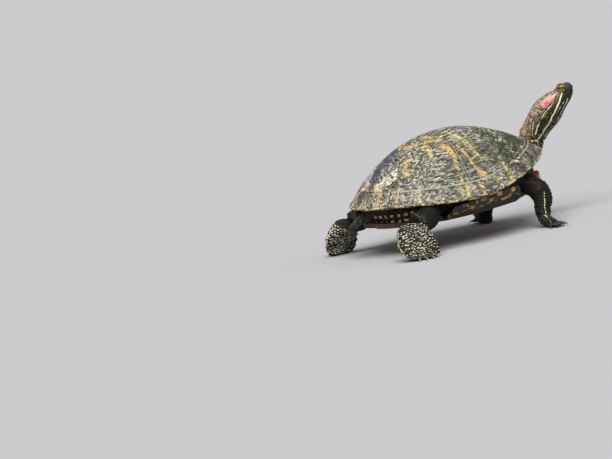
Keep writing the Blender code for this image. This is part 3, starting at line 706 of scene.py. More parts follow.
toeRows = {  # root, heading over the floor in degrees, length of toe and of claw, in mm
    "fore": (
        ((73, -70.5, 2.6), -54, 4, 5), ((72, -73.5, 2.6), -68, 4.5, 5.5),
        ((69, -75, 2.6), -83, 4.5, 6), ((65.3, -74.5, 2.6), -98, 4.5, 5.5),
        ((61.8, -72, 2.6), -116, 3.5, 5),
    ),
    "hind": (
        ((-75.5, -82.3, 1.7), -74, 3.5, 5), ((-80.5, -84, 1.7), -87, 4.5, 5.5),
        ((-85.8, -83.8, 1.7), -101, 4.5, 6), ((-91, -82, 1.7), -115, 4.5, 5.5),
        ((-95, -79, 1.7), -132, 4, 1.5),
    ),
}
toeHalf = {"fore": 1.9, "hind": 2.3}  # half width of a toe, in mm


def headAxes():
    turn = Matrix.Rotation(math.radians(headPose["yaw"]), 3, "Z")
    tip = Matrix.Rotation(math.radians(-headPose["pitch"]), 3, "Y")
    return np.array(turn @ tip)  # columns: ahead, left, up


headTurn = headAxes()
headPlace = (np.array(headPose["eyeLevel"]) + (bodyShift, 0, 0)) * mm


def toHead(points):  # in mm, from between the eyes
    return (np.asarray(points) - headPlace) @ headTurn / mm


def fromHead(points):
    return np.asarray(points, float) * mm @ headTurn.T + headPlace


def makeLoft(rows, up, power, side=-1, less=coatDepth):
    table = np.array([(*row[0], *row[1:]) for row in rows], float)
    table[:, 1] *= -side
    table[:, 0] += bodyShift
    table[:, 3:] -= less
    up = unit(np.array(up, float))
    return {"rows": table * mm, "up": up, "power": power, "last": len(rows) - 1}


def loftRow(loft, t):  # a smooth row at each t
    rows = loft["rows"]
    t = np.asarray(t, float)
    i = np.clip(t.astype(int), 0, len(rows) - 2)
    u = (t - i)[:, None]
    p1, p2 = rows[i], rows[i + 1]
    p0 = np.where((i > 0)[:, None], rows[np.maximum(i - 1, 0)], 2 * p1 - p2)
    p3 = np.where((i + 2 < len(rows))[:, None], rows[np.minimum(i + 2, len(rows) - 1)], 2 * p2 - p1)
    cubic = u * (3 * p1 - 3 * p2 + p3 - p0)
    return p1 + 0.5 * u * (p2 - p0 + u * (2 * p0 - 5 * p1 + 4 * p2 - p3 + cubic))


def loftFrame(loft, t):  # ahead, side, up at each t
    t = np.asarray(t, float)
    step = 0.04
    after, before = np.minimum(loft["last"], t + step), np.maximum(0, t - step)
    ahead = unit((loftRow(loft, after) - loftRow(loft, before))[:, :3])
    side = unit(np.cross(loft["up"], ahead))
    return ahead, side, np.cross(ahead, side)


def loftPoints(loft, t, degrees):  # one point for each t and each angle
    row = loftRow(loft, t)
    _, side, up = loftFrame(loft, t)
    turn = np.radians(degrees)
    c, s = np.cos(turn), np.sin(turn)
    a = np.sign(c) * np.abs(c) ** (2 / loft["power"]) * row[:, 3]
    b = np.sign(s) * np.abs(s) ** (2 / loft["power"]) * np.where(s > 0, row[:, 4], row[:, 5])
    return row[:, :3] + side * a[:, None] + up * b[:, None]


def loftPiece(name, loft, start, end, rings, sides=40, nose=0.0):
    t = np.linspace(start, end, rings)
    turns = np.arange(sides) * 360 / sides
    points = loftPoints(loft, np.repeat(t, sides), np.tile(turns, rings))
    ends = [loftRow(loft, t[:1])[:, :3], loftRow(loft, t[-1:])[:, :3]]
    ahead = loftFrame(loft, t[-1:])[0]
    last = points[-sides:]
    layers = 4 if nose else 1
    for k in range(1, layers):  # the rounded nose
        turn = k / layers * math.pi / 2
        out = ahead * nose * math.sin(turn)
        points = np.vstack([points, ends[1] + (last - ends[1]) * math.cos(turn) + out])
    faces = []
    for base in range(0, (rings + layers - 2) * sides, sides):
        for i in range(sides):
            j = (i + 1) % sides
            faces.append((base + i, base + j, base + sides + j, base + sides + i))
    edge = len(points) - sides
    points = np.vstack([points, ends[0], ends[1] + ahead * nose])
    first, tip = len(points) - 2, len(points) - 1
    faces += [((i + 1) % sides, i, first) for i in range(sides)]
    faces += [(edge + i, edge + (i + 1) % sides, tip) for i in range(sides)]
    return newPiece(name, points, faces)


def toeLoft(side, row, width, clawOnly=False):
    (x, y, z), heading, length, claw = row
    turn = math.radians(heading)
    ahead = np.array((math.cos(turn), math.sin(turn), 0))
    root = np.array((x, y, z))
    spots = (  # along, lift, half width
        (-4.0, 0.6, width), (0.35 * length, 0.75, width * 1.02),
        (0.8 * length, 0.35, width * 0.92), (length + 0.2, 0.25, width * 0.62),
    )
    if clawOnly:
        spots = (
            (length - 1.2, 0.35, width * 0.50), (length + 0.2 * claw, 0.45, width * 0.47),
            (length + 0.55 * claw, 0.05, width * 0.33),
            (length + 0.85 * claw, -0.75, width * 0.17), (length + claw, -1.25, 0.16),
        )
    rows = [(tuple(root + ahead * along + (0, 0, lift)), half, half * 0.88, half * 0.85)
            for along, lift, half in spots]
    return makeLoft(rows, (0, 0, 1), 2.0, side, less=0.0 if clawOnly else 0.15)


headRows = list(neckRows)
for along, half, top, bottom in headProfile:
    middle = fromHead(np.array([(along, 0, (top + bottom) / 2)]))[0] / mm - (bodyShift, 0, 0)
    headRows.append((tuple(middle), half, (top - bottom) / 2, (top - bottom) / 2))
lofts = {"head": makeLoft(headRows, headTurn[:, 2], 2.25)}
lofts["tail"] = makeLoft(limbRows["tail"], (0, 0, 1), 2.1)
for word, side in (("Right", -1), ("Left", 1)):
    lofts["foreleg" + word] = makeLoft(limbRows["foreleg"], (1.0, 0, 0.9), 2.1, side)
    lofts["forefoot" + word] = makeLoft(limbRows["forefoot"], (1, 0, 1), 2.1, side)
    lofts["hindleg" + word] = makeLoft(limbRows["hindleg"], (0, 0, 1), 2.1, side)
    lofts["hindfoot" + word] = makeLoft(limbRows["hindfoot"], (-0.2, side, 0.8), 2.1, side)
    for kind, width in toeHalf.items():
        for number, row in enumerate(toeRows[kind]):
            lofts[f"{kind}Toe{number + 1}{word}"] = toeLoft(side, row, width)

skinShape = {
    "voxel": 0.00092, "trunkShare": 0.864, "trunkUnder": 0.0046,
    "eye": {"middle": (-0.3, 5.5, -1.4), "radius": 4.0, "axis": (0.30, 0.93, 0.22),
            "long": 80, "short": 52, "lean": 36, "lid": 0.36},
}


def lobeHalf(x):  # half width of the plastron's front and rear lobes
    front = 0.040 * np.sqrt(np.maximum(0, 1 - np.maximum(0, (x - 0.042) / 0.056) ** 2))
    rear = 0.041 * np.sqrt(np.maximum(0, 1 - np.maximum(0, (-x - 0.055) / 0.041) ** 2.4))
    return np.where(x > 0, front, rear)


def trunkPiece():
    turns = np.radians(np.arange(0, 360, 2.5))
    turns = np.where(turns > math.pi, turns - 2 * math.pi, turns)
    shares = np.linspace(0.04, skinShape["trunkShare"], 36)
    rx, ry = rimPoint(turns)
    x, y = (np.outer(shares, v).ravel() for v in (rx, ry))
    high = domeHeight(x, y) - skinShape["trunkUnder"]
    beyond = np.maximum(0, np.abs(y) - lobeHalf(x) + 0.003) * (1 - besideBridge(x))
    low = np.minimum(high - 0.004, plastronHigh(x, y) + 0.85 * beyond)
    count, rings = len(turns), len(shares)
    points = np.vstack([np.column_stack([x, y, high]), np.column_stack([x, y, low]),
                        [(0, 0, high[0]), (0, 0, low[0])]])
    faces, half = [], count * rings
    for r in range(rings - 1):
        for i in range(count):
            a, b = r * count + i, r * count + (i + 1) % count
            faces.append((a, a + count, b + count, b))
            faces.append((half + b, half + b + count, half + a + count, half + a))
    for i in range(count):
        j, edge = (i + 1) % count, (rings - 1) * count
        faces.append((edge + i, half + edge + i, half + edge + j, edge + j))
        faces.append((2 * half, i, j))
        faces.append((2 * half + 1, half + j, half + i))
    return newPiece("trunkShape", fromShell(points), faces)


def skinBlock():  # every shape of flesh joined and made one skin
    neck = lofts["head"]
    shapes = [trunkPiece(), loftPiece("neckShape", neck, 0, neck["last"], 110, 56, 0.0012)]
    shapes.append(loftPiece("tailShape", lofts["tail"], 0, 4, 40, 24, 0.0015))
    for name, loft in lofts.items():
        if name in ("head", "tail"):
            continue
        nose = 0.0022 if "foot" in name else 0.0012 if "Toe" in name else 0.0
        rings = 12 if "Toe" in name else 36
        shapes.append(loftPiece(name + "Shape", loft, 0, loft["last"], rings, 30, nose))
    bpy.ops.object.select_all(action="DESELECT")
    for shape in shapes:
        tidyNormals(shape)
    for shape in shapes:
        shape.select_set(True)
    bpy.context.view_layer.objects.active = shapes[0]
    bpy.ops.object.join()
    skin = bpy.context.object
    skin.name = "turtleSkin"
    applied(skin, "REMESH", mode="VOXEL", voxel_size=skinShape["voxel"], adaptivity=0.0)
    applied(skin, "SMOOTH", factor=0.5, iterations=3)
    return skin


skin = skinBlock()
print("skin block:", len(skin.data.polygons), "faces")


def alongLofts(points, names):  # which loft each point belongs to, its t, its angle, its way out
    best = np.full(len(points), 1e9)
    which, at = np.zeros(len(points), int), np.zeros(len(points))
    for number, name in enumerate(names):
        t = np.linspace(0, lofts[name]["last"], 48)
        row = loftRow(lofts[name], t)
        size = row[:, 3:].mean(1)
        for k in range(len(t)):
            away = np.linalg.norm(points - row[k, :3], axis=1) / size[k]
            closer = away < best
            best[closer], which[closer], at[closer] = away[closer], number, t[k]
    degrees = np.zeros(len(points))
    for number, name in enumerate(names):
        mine = which == number
        if mine.any():
            row = loftRow(lofts[name], at[mine])
            _, side, up = loftFrame(lofts[name], at[mine])
            out = points[mine] - row[:, :3]
            degrees[mine] = np.degrees(np.arctan2((out * up).sum(1), (out * side).sum(1))) % 360
    return which, at, degrees, best


limbNames = ["head", "tail"] + [kind + word for word in ("Right", "Left") for kind in (
    "foreleg", "forefoot", "hindleg", "hindfoot")]


def eyeFrame(side):  # in the head's mm: middle, way out, long and short ways of the lids
    eye = skinShape["eye"]
    middle = np.array(eye["middle"]) * (1, side, 1)
    axis = unit(np.array(eye["axis"]) * (1, side, 1))
    lean = math.radians(eye["lean"])
    long = np.array((math.cos(lean), 0, -math.sin(lean)))
    long = unit(long - axis * (long @ axis))
    return middle, axis, long, np.cross(axis, long) * side


headForm = {  # places ahead, aside and up from between the eyes, and half sizes, in mm
    "back": -24, "eyeReach": 7.2, "snout": (7.0, 0, -1.8), "snoutReach": 3.6,
    "mouthDrop": -9.2, "mouthCorner": -9.5, "mouthDepth": 0.62, "mouthHalf": 0.42,
    "nostril": (7.3, 1.25, -1.2), "nostrilHalf": 0.5, "nostrilDepth": 0.75,
    "ear": (-13.5, -6.2), "earHalf": (4.2, 3.4), "cheek": (-8, -13), "cheekHalf": (3.0, 2.6),
    "crown": -6.5, "crownHalf": 4.2, "crownDrop": 1.1,
}


def refineHead():  # more faces where the head and then the eyes are
    for cuts in ("head", "eyes"):
        head = toHead(pointsOf(skin))
        if cuts == "head":
            near = head[:, 0] > headForm["back"]
        else:
            near = np.linalg.norm(head - headForm["snout"], axis=1) < headForm["snoutReach"]
            for side in (1, -1):
                fromEye = np.linalg.norm(head - eyeFrame(side)[0], axis=1)
                near |= fromEye < headForm["eyeReach"]
        selectOnly(skin)
        skin.data.vertices.foreach_set("select", near)
        skin.data.edges.foreach_set("select", np.zeros(len(skin.data.edges), bool))
        skin.data.polygons.foreach_set("select", np.zeros(len(skin.data.polygons), bool))
        bpy.ops.object.mode_set(mode="EDIT")
        bpy.ops.mesh.select_mode(type="VERT")
        bpy.ops.mesh.subdivide(number_cuts=1, smoothness=0.0)
        bpy.ops.mesh.vertices_smooth(factor=0.5, repeat=2)
        bpy.ops.object.mode_set(mode="OBJECT")


folds = {  # heights in mm, and waves along the neck and legs
    "neck": 0.36, "collar": 0.55, "collarWaves": 8.6, "nape": 0.5, "napeWaves": 17.5,
    "pocket": 0.85, "joint": 0.26, "fine": 0.07,
}


def onNeck(t, degrees):  # a place for noise that follows the neck
    turn = np.radians(degrees)
    return np.column_stack([t * 0.55, np.cos(turn) * 4.2, np.sin(turn) * 4.2])


def shapeFolds():  # loose skin of the neck, the limb pockets and the joints
    spots, out = pointsOf(skin), normalsOf(skin)
    which, t, degrees, away = alongLofts(spots, limbNames)
    m = spots / mm
    lift = np.zeros(len(spots))
    isNeck = which == 0
    cord = onNeck(t, degrees)
    neckPart = isNeck * blendIn(t, 0.5, 2.0) * (1 - blendIn(t, 6.6, 7.6))
    lengthwise = 1 - np.abs(layered(cord, (1.0, 1.0, 1.0), 3, 71)) * 2
    lift += neckPart * folds["neck"] * lengthwise
    collar = isNeck * blendIn(t, 1.2, 2.4) * (1 - blendIn(t, 4.2, 5.2))
    wave = np.sin(t * folds["collarWaves"] + 1.1 * noise(cord, 1.3, 72))
    lift += collar * folds["collar"] * wave
    nape = isNeck * blendIn(t, 6.0, 6.4) * (1 - blendIn(t, 7.1, 7.5))
    nape = nape * blendIn(np.sin(np.radians(degrees)), -0.9, 0.2)
    lift += nape * folds["nape"] * np.sin(t * folds["napeWaves"] + 1.6 * noise(cord, 0.9, 73))
    flat = toShell(spots)
    outer = np.hypot(flat[:, 0] / 0.088, flat[:, 1] / 0.064) > 0.55
    pocket = blendIn(away, 1.12, 1.5) * outer
    swirl = np.stack([noise(m, 11, k) for k in (74, 75, 76)], 1) * 3
    pleats = 0.2 - np.abs(layered(m + swirl, (9, 9, 3.6), 2, 77)) * 2
    lift += pocket * folds["pocket"] * pleats
    for name, low, high, waves in (("foreleg", 1.2, 3.6, 6.5), ("hindleg", 1.5, 4.2, 6.0)):
        for word in ("Right", "Left"):
            mine = which == limbNames.index(name + word)
            joint = mine * blendIn(t, low, low + 0.6) * (1 - blendIn(t, high - 0.6, high))
            lift += joint * folds["joint"] * np.sin(t * waves + 2.4 * noise(m, 5, 78))
    lift += folds["fine"] * layered(m, 1.8, 2, 79) * (toHead(spots)[:, 0] < -16)
    movePoints(skin, spots + out * (lift * mm)[:, None])


def fromOval(ahead, up, name):  # 1 on the edge of the ear or the cheek
    (x, z), (long, high) = headForm[name], headForm[name + "Half"]
    return np.hypot((ahead - x) / long, (up - z) / high)


def shapeHead():  # jaws, nostrils, ear and lids, in the head's own mm
    spots, out = pointsOf(skin), normalsOf(skin)
    head = toHead(spots)
    ahead, y, up = head.T
    corner = headForm["mouthCorner"]
    near = ahead > corner - 8
    mouth = headForm["mouthDrop"] + 0.045 * np.maximum(0, -ahead) ** 1.3
    mouth -= 0.5 * np.exp(-((ahead + 4) / 4) ** 2)
    mouth += 0.3 * np.exp(-(y / 1.6) ** 2) * blendIn(ahead, 2, 5)  # the notch of the upper beak
    gape = blendIn(ahead, corner - 1.2, corner + 1.4) * near
    slit = np.exp(-((up - mouth) / headForm["mouthHalf"]) ** 2)
    lift = -headForm["mouthDepth"] * gape * slit
    lift -= 0.42 * gape * (1 - blendIn(up - mouth, -0.9, 0.1)) * blendIn(up - mouth, -6, -1.5)
    lift += 0.16 * gape * np.exp(-((up - mouth - 1.1) / 0.7) ** 2)  # the horny edge
    for side in (1, -1):
        nostril = np.array(headForm["nostril"]) * (1, side, 1)
        hole = np.linalg.norm(head - nostril, axis=1) / headForm["nostrilHalf"]
        lift -= headForm["nostrilDepth"] * np.exp(-hole**2) * (ahead > 3.5)
        ear = fromOval(ahead, up, "ear")
        onSide = near * blendIn(y * side, 5, 8) * (np.abs(ahead - headForm["ear"][0]) < 9)
        drum = 1 - blendIn(ear, 0.7, 1.2)
        lift += onSide * (-0.14 * np.exp(-((ear - 1) / 0.30) ** 2) - 0.10 * drum)
        cheek = np.exp(-fromOval(ahead, up, "cheek") ** 2)
        lift += 0.35 * near * blendIn(y * side, 3, 6) * cheek
    spots = spots + out * (lift * mm)[:, None]
    head = toHead(spots)
    crown = np.exp(-((ahead - headForm["crown"]) / headForm["crownHalf"]) ** 2)
    crown = crown * blendIn(up, -2.5, 3.0) * near
    head[:, 2] -= headForm["crownDrop"] * crown  # flat behind the brows
    eye = skinShape["eye"]
    for side in (1, -1):
        middle, axis, long, short = eyeFrame(side)
        w = head - middle
        r = np.linalg.norm(w, axis=1)
        way = w / np.maximum(r, 1e-9)[:, None]
        angle = np.degrees(np.arccos(np.clip(way @ axis, -1, 1)))
        flat = np.stack([way @ long, way @ short], 1)
        flat /= np.maximum(np.linalg.norm(flat, axis=1), 1e-9)[:, None]
        opening = 1 / np.hypot(flat[:, 0] / eye["long"], flat[:, 1] / eye["short"])
        beyond = angle - opening
        brow = eye["radius"] + eye["lid"] + 0.10 * np.exp(-((beyond - 8) / 5) ** 2)
        brow -= 0.20 * np.exp(-((beyond - 22) / 7) ** 2)
        target = np.where(beyond < 0, eye["radius"] - 0.9, brow)
        weight = (1 - blendIn(beyond, 12, 32)) * (angle < 118) * (r < 9)
        head = middle + way * (r + (target - r) * weight)[:, None]
    movePoints(skin, fromHead(head))


refineHead()
shapeFolds()
shapeHead()
soles = pointsOf(skin)
soles[:, 2] = np.maximum(soles[:, 2], 0.0)  # flat where the feet stand
movePoints(skin, soles)
smoothShaded(skin)
print("skin:", len(skin.data.polygons), "faces")

# eyes: gold iris with a dark bar that stays level, under a clear wet front
eyeball = {"bar": (0.955, 0.09, -0.28), "bulge": 0.05}


def makeEye(word, side):
    middle, axis = eyeFrame(side)[:2]
    radius = skinShape["eye"]["radius"]
    bpy.ops.object.select_all(action="DESELECT")
    bpy.ops.mesh.primitive_uv_sphere_add(segments=72, ring_count=36, radius=radius)
    eye = bpy.context.object
    eye.name = "eye" + word
    spots = pointsOf(eye)
    front = spots[:, 2] / radius
    spots *= (1 + eyeball["bulge"] * blendIn(front, 0.80, 1.0))[:, None]  # the clear front
    barWay = unit((np.array(eyeball["bar"]) * (1, -side, 1)) @ headTurn)
    barWay = unit(barWay - axis * (barWay @ axis))
    upWay = np.cross(axis, barWay) * side
    turned = spots[:, :1] * barWay + spots[:, 1:2] * upWay + spots[:, 2:] * axis
    keep(eye, "high", spots[:, 1])
    keep(eye, "front", np.where(front > 0, np.hypot(spots[:, 0], spots[:, 1]), 9))
    movePoints(eye, fromHead(middle + turned))
    tidyNormals(eye)
    smoothShaded(eye)
    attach(eye, "root")
    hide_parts("eye_" + word.lower())
    return eye


eyes = [makeEye("Right", -1), makeEye("Left", 1)]
print("eyes are set")

# claws: curved horn cones out of the toes
claws = []
for word, side in (("Right", -1), ("Left", 1)):
    for kind, width in toeHalf.items():
        for number, row in enumerate(toeRows[kind]):
            if row[3] < 2:
                continue
            loft = toeLoft(side, row, width, clawOnly=True)
            claw = loftPiece(f"{kind}Claw{word}{number + 1}", loft, 0, 4, 22, 16, 0.0003)
            spots = pointsOf(claw)
            spots[:, 2] = np.maximum(spots[:, 2], 0.00015)
            movePoints(claw, spots)
            tidyNormals(claw)
            root = loftRow(loft, np.array([0.0]))[0, :3]
            outward = np.linalg.norm(spots - root, axis=1) / mm / row[3]
            keep(claw, "outward", outward * (0.45 if kind == "fore" else 1.0))
            smoothShaded(claw, 60)
            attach(claw, "root")
            claws.append(claw)
print("claws:", len(claws))

# markings of the head and neck: t along the neck and head, angle round it on the right side
# (90 is the top, 180 the side, 270 the throat), half width in mm
headMarks = {
    "pale": (
        {"line": ((11.0, 168), (10.75, 171), (10.4, 175), (9.9, 181), (9.2, 188), (8.5, 193),
                  (7.7, 197)), "half": 0.85},
        {"line": ((7.7, 197), (7.2, 200), (6.8, 208), (6.3, 213), (5.6, 214), (5.0, 212),
                  (4.0, 205), (3.2, 196)), "half": 0.75},
        {"line": ((8.9, 168), (8.3, 171), (7.6, 172), (7.1, 173), (6.7, 176), (6.3, 181),
                  (5.6, 186), (4.9, 187)), "half": 0.6},
        {"line": ((6.5, 146), (6.2, 158), (5.9, 166), (5.4, 173), (5.0, 177), (4.5, 180)),
         "half": 0.42},
        {"line": ((6.35, 128), (5.9, 141), (5.3, 150), (4.8, 154)), "half": 0.40},
        {"line": ((11.1, 214), (10.2, 222), (9.2, 226), (8.0, 231), (6.9, 237), (5.8, 240),
                  (4.4, 236)), "half": 0.5},
        {"line": ((11.9, 246), (11.0, 250), (9.6, 252), (8.2, 255), (6.8, 258), (5.2, 258)),
         "half": 0.45},
        {"line": ((9.9, 207), (9.3, 206), (8.6, 206), (8.0, 207)), "half": 0.22},
        {"line": ((4.45, 116), (4.3, 140), (4.15, 165), (4.25, 188), (4.5, 203)), "half": 0.6},
        {"line": ((3.75, 120), (3.7, 150), (3.7, 172), (3.85, 200)), "half": 0.75},
        {"line": ((3.1, 140), (3.1, 165), (3.2, 190), (3.3, 210)), "half": 0.6},
        {"line": ((12.2, 178), (12.7, 182), (13.3, 190)), "half": 0.35},
    ),
    "red": ({"line": ((8.85, 144), (8.5, 144), (8.1, 145), (7.75, 147)), "half": 3.4},),
    "ink": (
        {"line": ((6.44, 116), (6.52, 130), (6.56, 144), (6.72, 157), (6.66, 168)),
         "half": 0.55},
        {"line": ((6.86, 120), (6.92, 134), (6.98, 148), (7.14, 160)), "half": 0.55},
        {"line": ((7.22, 142), (7.20, 152), (7.34, 162), (7.34, 172)), "half": 0.6},
        {"line": ((7.5, 160), (7.9, 166), (8.3, 167), (8.8, 166), (9.3, 163)), "half": 0.9},
    ),
    "blush": (
        {"line": ((10.5, 139), (10.0, 143), (9.5, 147), (9.15, 152)), "half": 0.85},
        {"line": ((6.62, 126), (6.72, 138), (6.74, 150), (6.88, 159)), "half": 0.42},
        {"line": ((7.08, 128), (7.12, 142), (7.2, 154), (7.3, 160)), "half": 0.36},
    ),
}
legMarks = {  # one on each, the same way
    "foreleg": {"line": ((2.64, 173), (3.18, 182), (3.80, 179), (4.42, 179), (5.0, 174)),
                "half": 0.42},
    "forefoot": {"line": ((0.05, 168), (2.17, 167), (2.87, 196), (3.38, 229), (3.72, 258)),
                 "half": 0.42},
    "hindfoot": {"line": ((0.9, 164), (1.3, 171), (1.9, 177), (2.6, 179), (3.2, 176)),
                 "half": 0.9},
}


def markLines(loft, marks, mirrored):
    lines = []
    for mark in marks:
        table = np.array(mark["line"], float)
        at = np.linspace(0, len(table) - 1, len(table) * 4)
        t, degrees = (np.interp(at, np.arange(len(table)), table[:, k]) for k in (0, 1))
        for flip in ((False, True) if mirrored else (False,)):
            spots = loftPoints(loft, t, 180 - degrees if flip else degrees)
            lines.append((spots / mm, mark["half"]))
    return lines


skinMarks = {kind: markLines(lofts["head"], headMarks[kind], True) for kind in headMarks}
for name, mark in legMarks.items():
    flipped = dict(mark, line=[(t, 180 - degrees) for t, degrees in mark["line"]])
    skinMarks["pale"] += markLines(lofts[name + "Right"], [mark], False)
    skinMarks["pale"] += markLines(lofts[name + "Left"], [flipped], False)


rumpRow = {"bars": 92 / 8.0, "gap": 6.0}  # marks in a whole turn, and mm between rows


def markSkin(obj, spots):
    m = spots / mm
    wobble = np.stack([noise(m, 2.6, k) for k in (81, 82, 83)], 1) * 0.22
    for kind, lines in skinMarks.items():
        nearest = np.full(len(m), 6.0)
        for line, half in lines:
            low, high = line.min(0) - 8, line.max(0) + 8
            close = ((m > low) & (m < high)).all(1)
            if close.any():
                away = lineDistance(m[close] + wobble[close], line) - half
                nearest[close] = np.minimum(nearest[close], away)
        keep(obj, kind, nearest)
    which, t, degrees, away = alongLofts(spots, limbNames)
    high = np.sin(np.radians(degrees))
    isNeck = which == 0
    top = isNeck * blendIn(high, -0.15, 0.75) * (1 - 0.30 * blendIn(t, 8.5, 11))
    keep(obj, "nape", top * blendIn(t, 1.5, 3.2))
    creases = isNeck * (1 - np.abs(layered(onNeck(t, degrees), (1.0, 0.7, 0.7), 3, 71)) * 2)
    keep(obj, "fold", creases * (1 - blendIn(t, 7.2, 8.4)) - 9 * ~isNeck)
    keep(obj, "base", isNeck * (1 - blendIn(t, 4.0, 5.6)))
    # the legs, which the finish darkens: partly their own dark skin, partly painted shade from the
    # shell
    keep(obj, "leg", np.isin(which, [i for i, n in enumerate(limbNames) if "leg" in n]) * 1.0)
    keep(obj, "throat", isNeck * blendIn(-high, 0.35, 0.9))
    head = toHead(spots)
    keep(obj, "snout", isNeck * blendIn(head[:, 0], 0.5, 5.5) * blendIn(head[:, 2], -8.5, -3))
    flat = toShell(spots) / mm
    rump = (flat[:, 0] < -54) & (flat[:, 2] < 4) & (np.abs(flat[:, 1]) < 52)
    rump = rump * blendIn(away, 1.05, 1.3)
    turn = np.arctan2(flat[:, 1], flat[:, 0])
    low = flat[:, 2] < -7.5
    bar = np.sin(turn * rumpRow["bars"] * math.tau + noise(flat, 6, 91) + low * 1.6)
    bar = bar - 0.3 * low
    fold = np.sin(flat[:, 2] / rumpRow["gap"] * math.tau + 0.3 * noise(flat, 8, 92))
    keep(obj, "rump", rump * blendIn(bar, -0.35, 0.35) * blendIn(fold, -0.1, 0.5))
    keep(obj, "lower", blendIn(-flat[:, 2], 7.0, 8.0))


markSkin(skin, pointsOf(skin))
print("markings are laid out")


# finishes
def addNode(tree, kind, links=None, **settings):
    made = tree.nodes.new(kind)
    for key, value in settings.items():
        setattr(made, key, value)
    for key, value in (links or {}).items():
        if isinstance(value, bpy.types.NodeSocket):
            tree.links.new(value, made.inputs[key])
        else:
            made.inputs[key].default_value = value
    return made


class Finish:  # a material whose colour is built up layer by layer, from named tones
    def __init__(self, name, tones, roughness=0.5, specular=0.5):
        self.material = bpy.data.materials.new(name)
        self.material.use_nodes = True
        self.tree = self.material.node_tree
        self.tones = tones
        self.shader = self.tree.nodes["Principled BSDF"]
        self.shader.inputs["Roughness"].default_value = roughness
        self.shader.inputs["Specular IOR Level"].default_value = specular
        self.place = addNode(self.tree, "ShaderNodeTexCoord").outputs["Object"]
        self.colour = None
        self.bumps = []

    def stretched(self, scale=(1, 1, 1), turn=(0, 0, 0)):
        return addNode(self.tree, "ShaderNodeMapping", {
            "Vector": self.place, "Scale": scale, "Rotation": [math.radians(v) for v in turn],
        }).outputs[0]

    def mark(self, name):
        return addNode(self.tree, "ShaderNodeAttribute", attribute_name=name).outputs["Fac"]

    def grain(self, scale, detail=3.0, rough=0.55, place=None):
        return addNode(self.tree, "ShaderNodeTexNoise", {
            "Vector": place or self.place, "Scale": scale, "Detail": detail, "Roughness": rough,
        }).outputs["Fac"]

    def cells(self, scale):
        links = {"Vector": self.place, "Scale": scale}
        return addNode(self.tree, "ShaderNodeTexVoronoi", links).outputs["Distance"]

    def span(self, value, low, high, to=(0.0, 1.0)):
        return addNode(self.tree, "ShaderNodeMapRange", {
            "Value": value, "From Min": low, "From Max": high, "To Min": to[0], "To Max": to[1],
        }, interpolation_type="SMOOTHSTEP").outputs["Result"]

    def maths(self, operation, a, b=0.0):
        return addNode(self.tree, "ShaderNodeMath", {0: a, 1: b}, operation=operation).outputs[0]

    def times(self, *values):
        total = values[0]
        for value in values[1:]:
            total = self.maths("MULTIPLY", total, value)
        return total

    def speck(self, scale, low, high, *how):  # 1 where the grain is past high, 0 short of low
        return self.span(self.grain(scale, *how), low, high)

    def frayed(self, value, scale, amount, *how):  # the value made ragged by a grain
        offset = self.maths("SUBTRACT", self.grain(scale, *how), 0.5)
        return self.maths("ADD", value, self.times(offset, amount))

    def near(self, value, middle, far, close):
        away = self.maths("ABSOLUTE", self.maths("SUBTRACT", value, middle))
        return self.span(away, far, close)

    def raised(self, value, by, floor):
        return self.maths("ADD", self.times(value, by), floor)

    def mixed(self, where, a, b):  # from a to b, each a tone's name or a socket
        made = addNode(self.tree, "ShaderNodeMix", {"Factor": where}, data_type="RGBA")
        for socket, colour in (("A", a), ("B", b)):
            if isinstance(colour, str):
                made.inputs[socket].default_value = (*self.tones[colour], 1)
            else:
                self.tree.links.new(colour, made.inputs[socket])
        return made.outputs["Result"]

    def paint(self, colour, *where):  # the first coat covers all, the others go where they are told
        if self.colour is None:
            ground = addNode(self.tree, "ShaderNodeRGB")
            ground.outputs[0].default_value = (*self.tones[colour], 1)
            self.colour = ground.outputs[0]
        else:
            self.colour = self.mixed(self.times(*where), self.colour, colour)

    def bump(self, height, distance, strength=1.0):
        links = {"Height": height, "Distance": distance, "Strength": strength}
        if self.bumps:
            links["Normal"] = self.bumps[-1]
        self.bumps.append(addNode(self.tree, "ShaderNodeBump", links).outputs[0])

    def done(self, roughness=None):
        self.tree.links.new(self.colour, self.shader.inputs["Base Color"])
        if roughness is not None:
            self.tree.links.new(roughness, self.shader.inputs["Roughness"])
        if self.bumps:
            self.tree.links.new(self.bumps[-1], self.shader.inputs["Normal"])
        return self.material


def wear(pieces, finish):
    for piece in pieces:
        piece.data.materials.clear()
        piece.data.materials.append(finish)


hornTones = {
    "dark": (0.010, 0.010, 0.006), "olive": (0.050, 0.050, 0.028), "grey": (0.135, 0.135, 0.092),
    "algae": (0.34, 0.335, 0.24), "bone": (0.70, 0.68, 0.55), "cream": (0.74, 0.66, 0.50),
    "yellow": (0.44, 0.38, 0.12), "orange": (0.55, 0.30, 0.105), "border": (0.022, 0.014, 0.018),
    # on this line the slate blue and lilac tones are painted sky reflection in shade, and its
    # painted highlights
    "moss": (0.012, 0.024, 0.011), "shadeAndSkyReflection": (0.042, 0.044, 0.074), "skyHighlight": (0.20, 0.19, 0.27),
    "purple": (0.040, 0.022, 0.040), "pink": (0.50, 0.36, 0.29), "lip": (0.62, 0.50, 0.24),
    "underRimOvalAndShade": (0.030, 0.018, 0.012), "underRing": (0.60, 0.27, 0.04),
# the near black tone under the rim is the real dark ovals there, and painted shade over the rest of
# the rim's underside
}


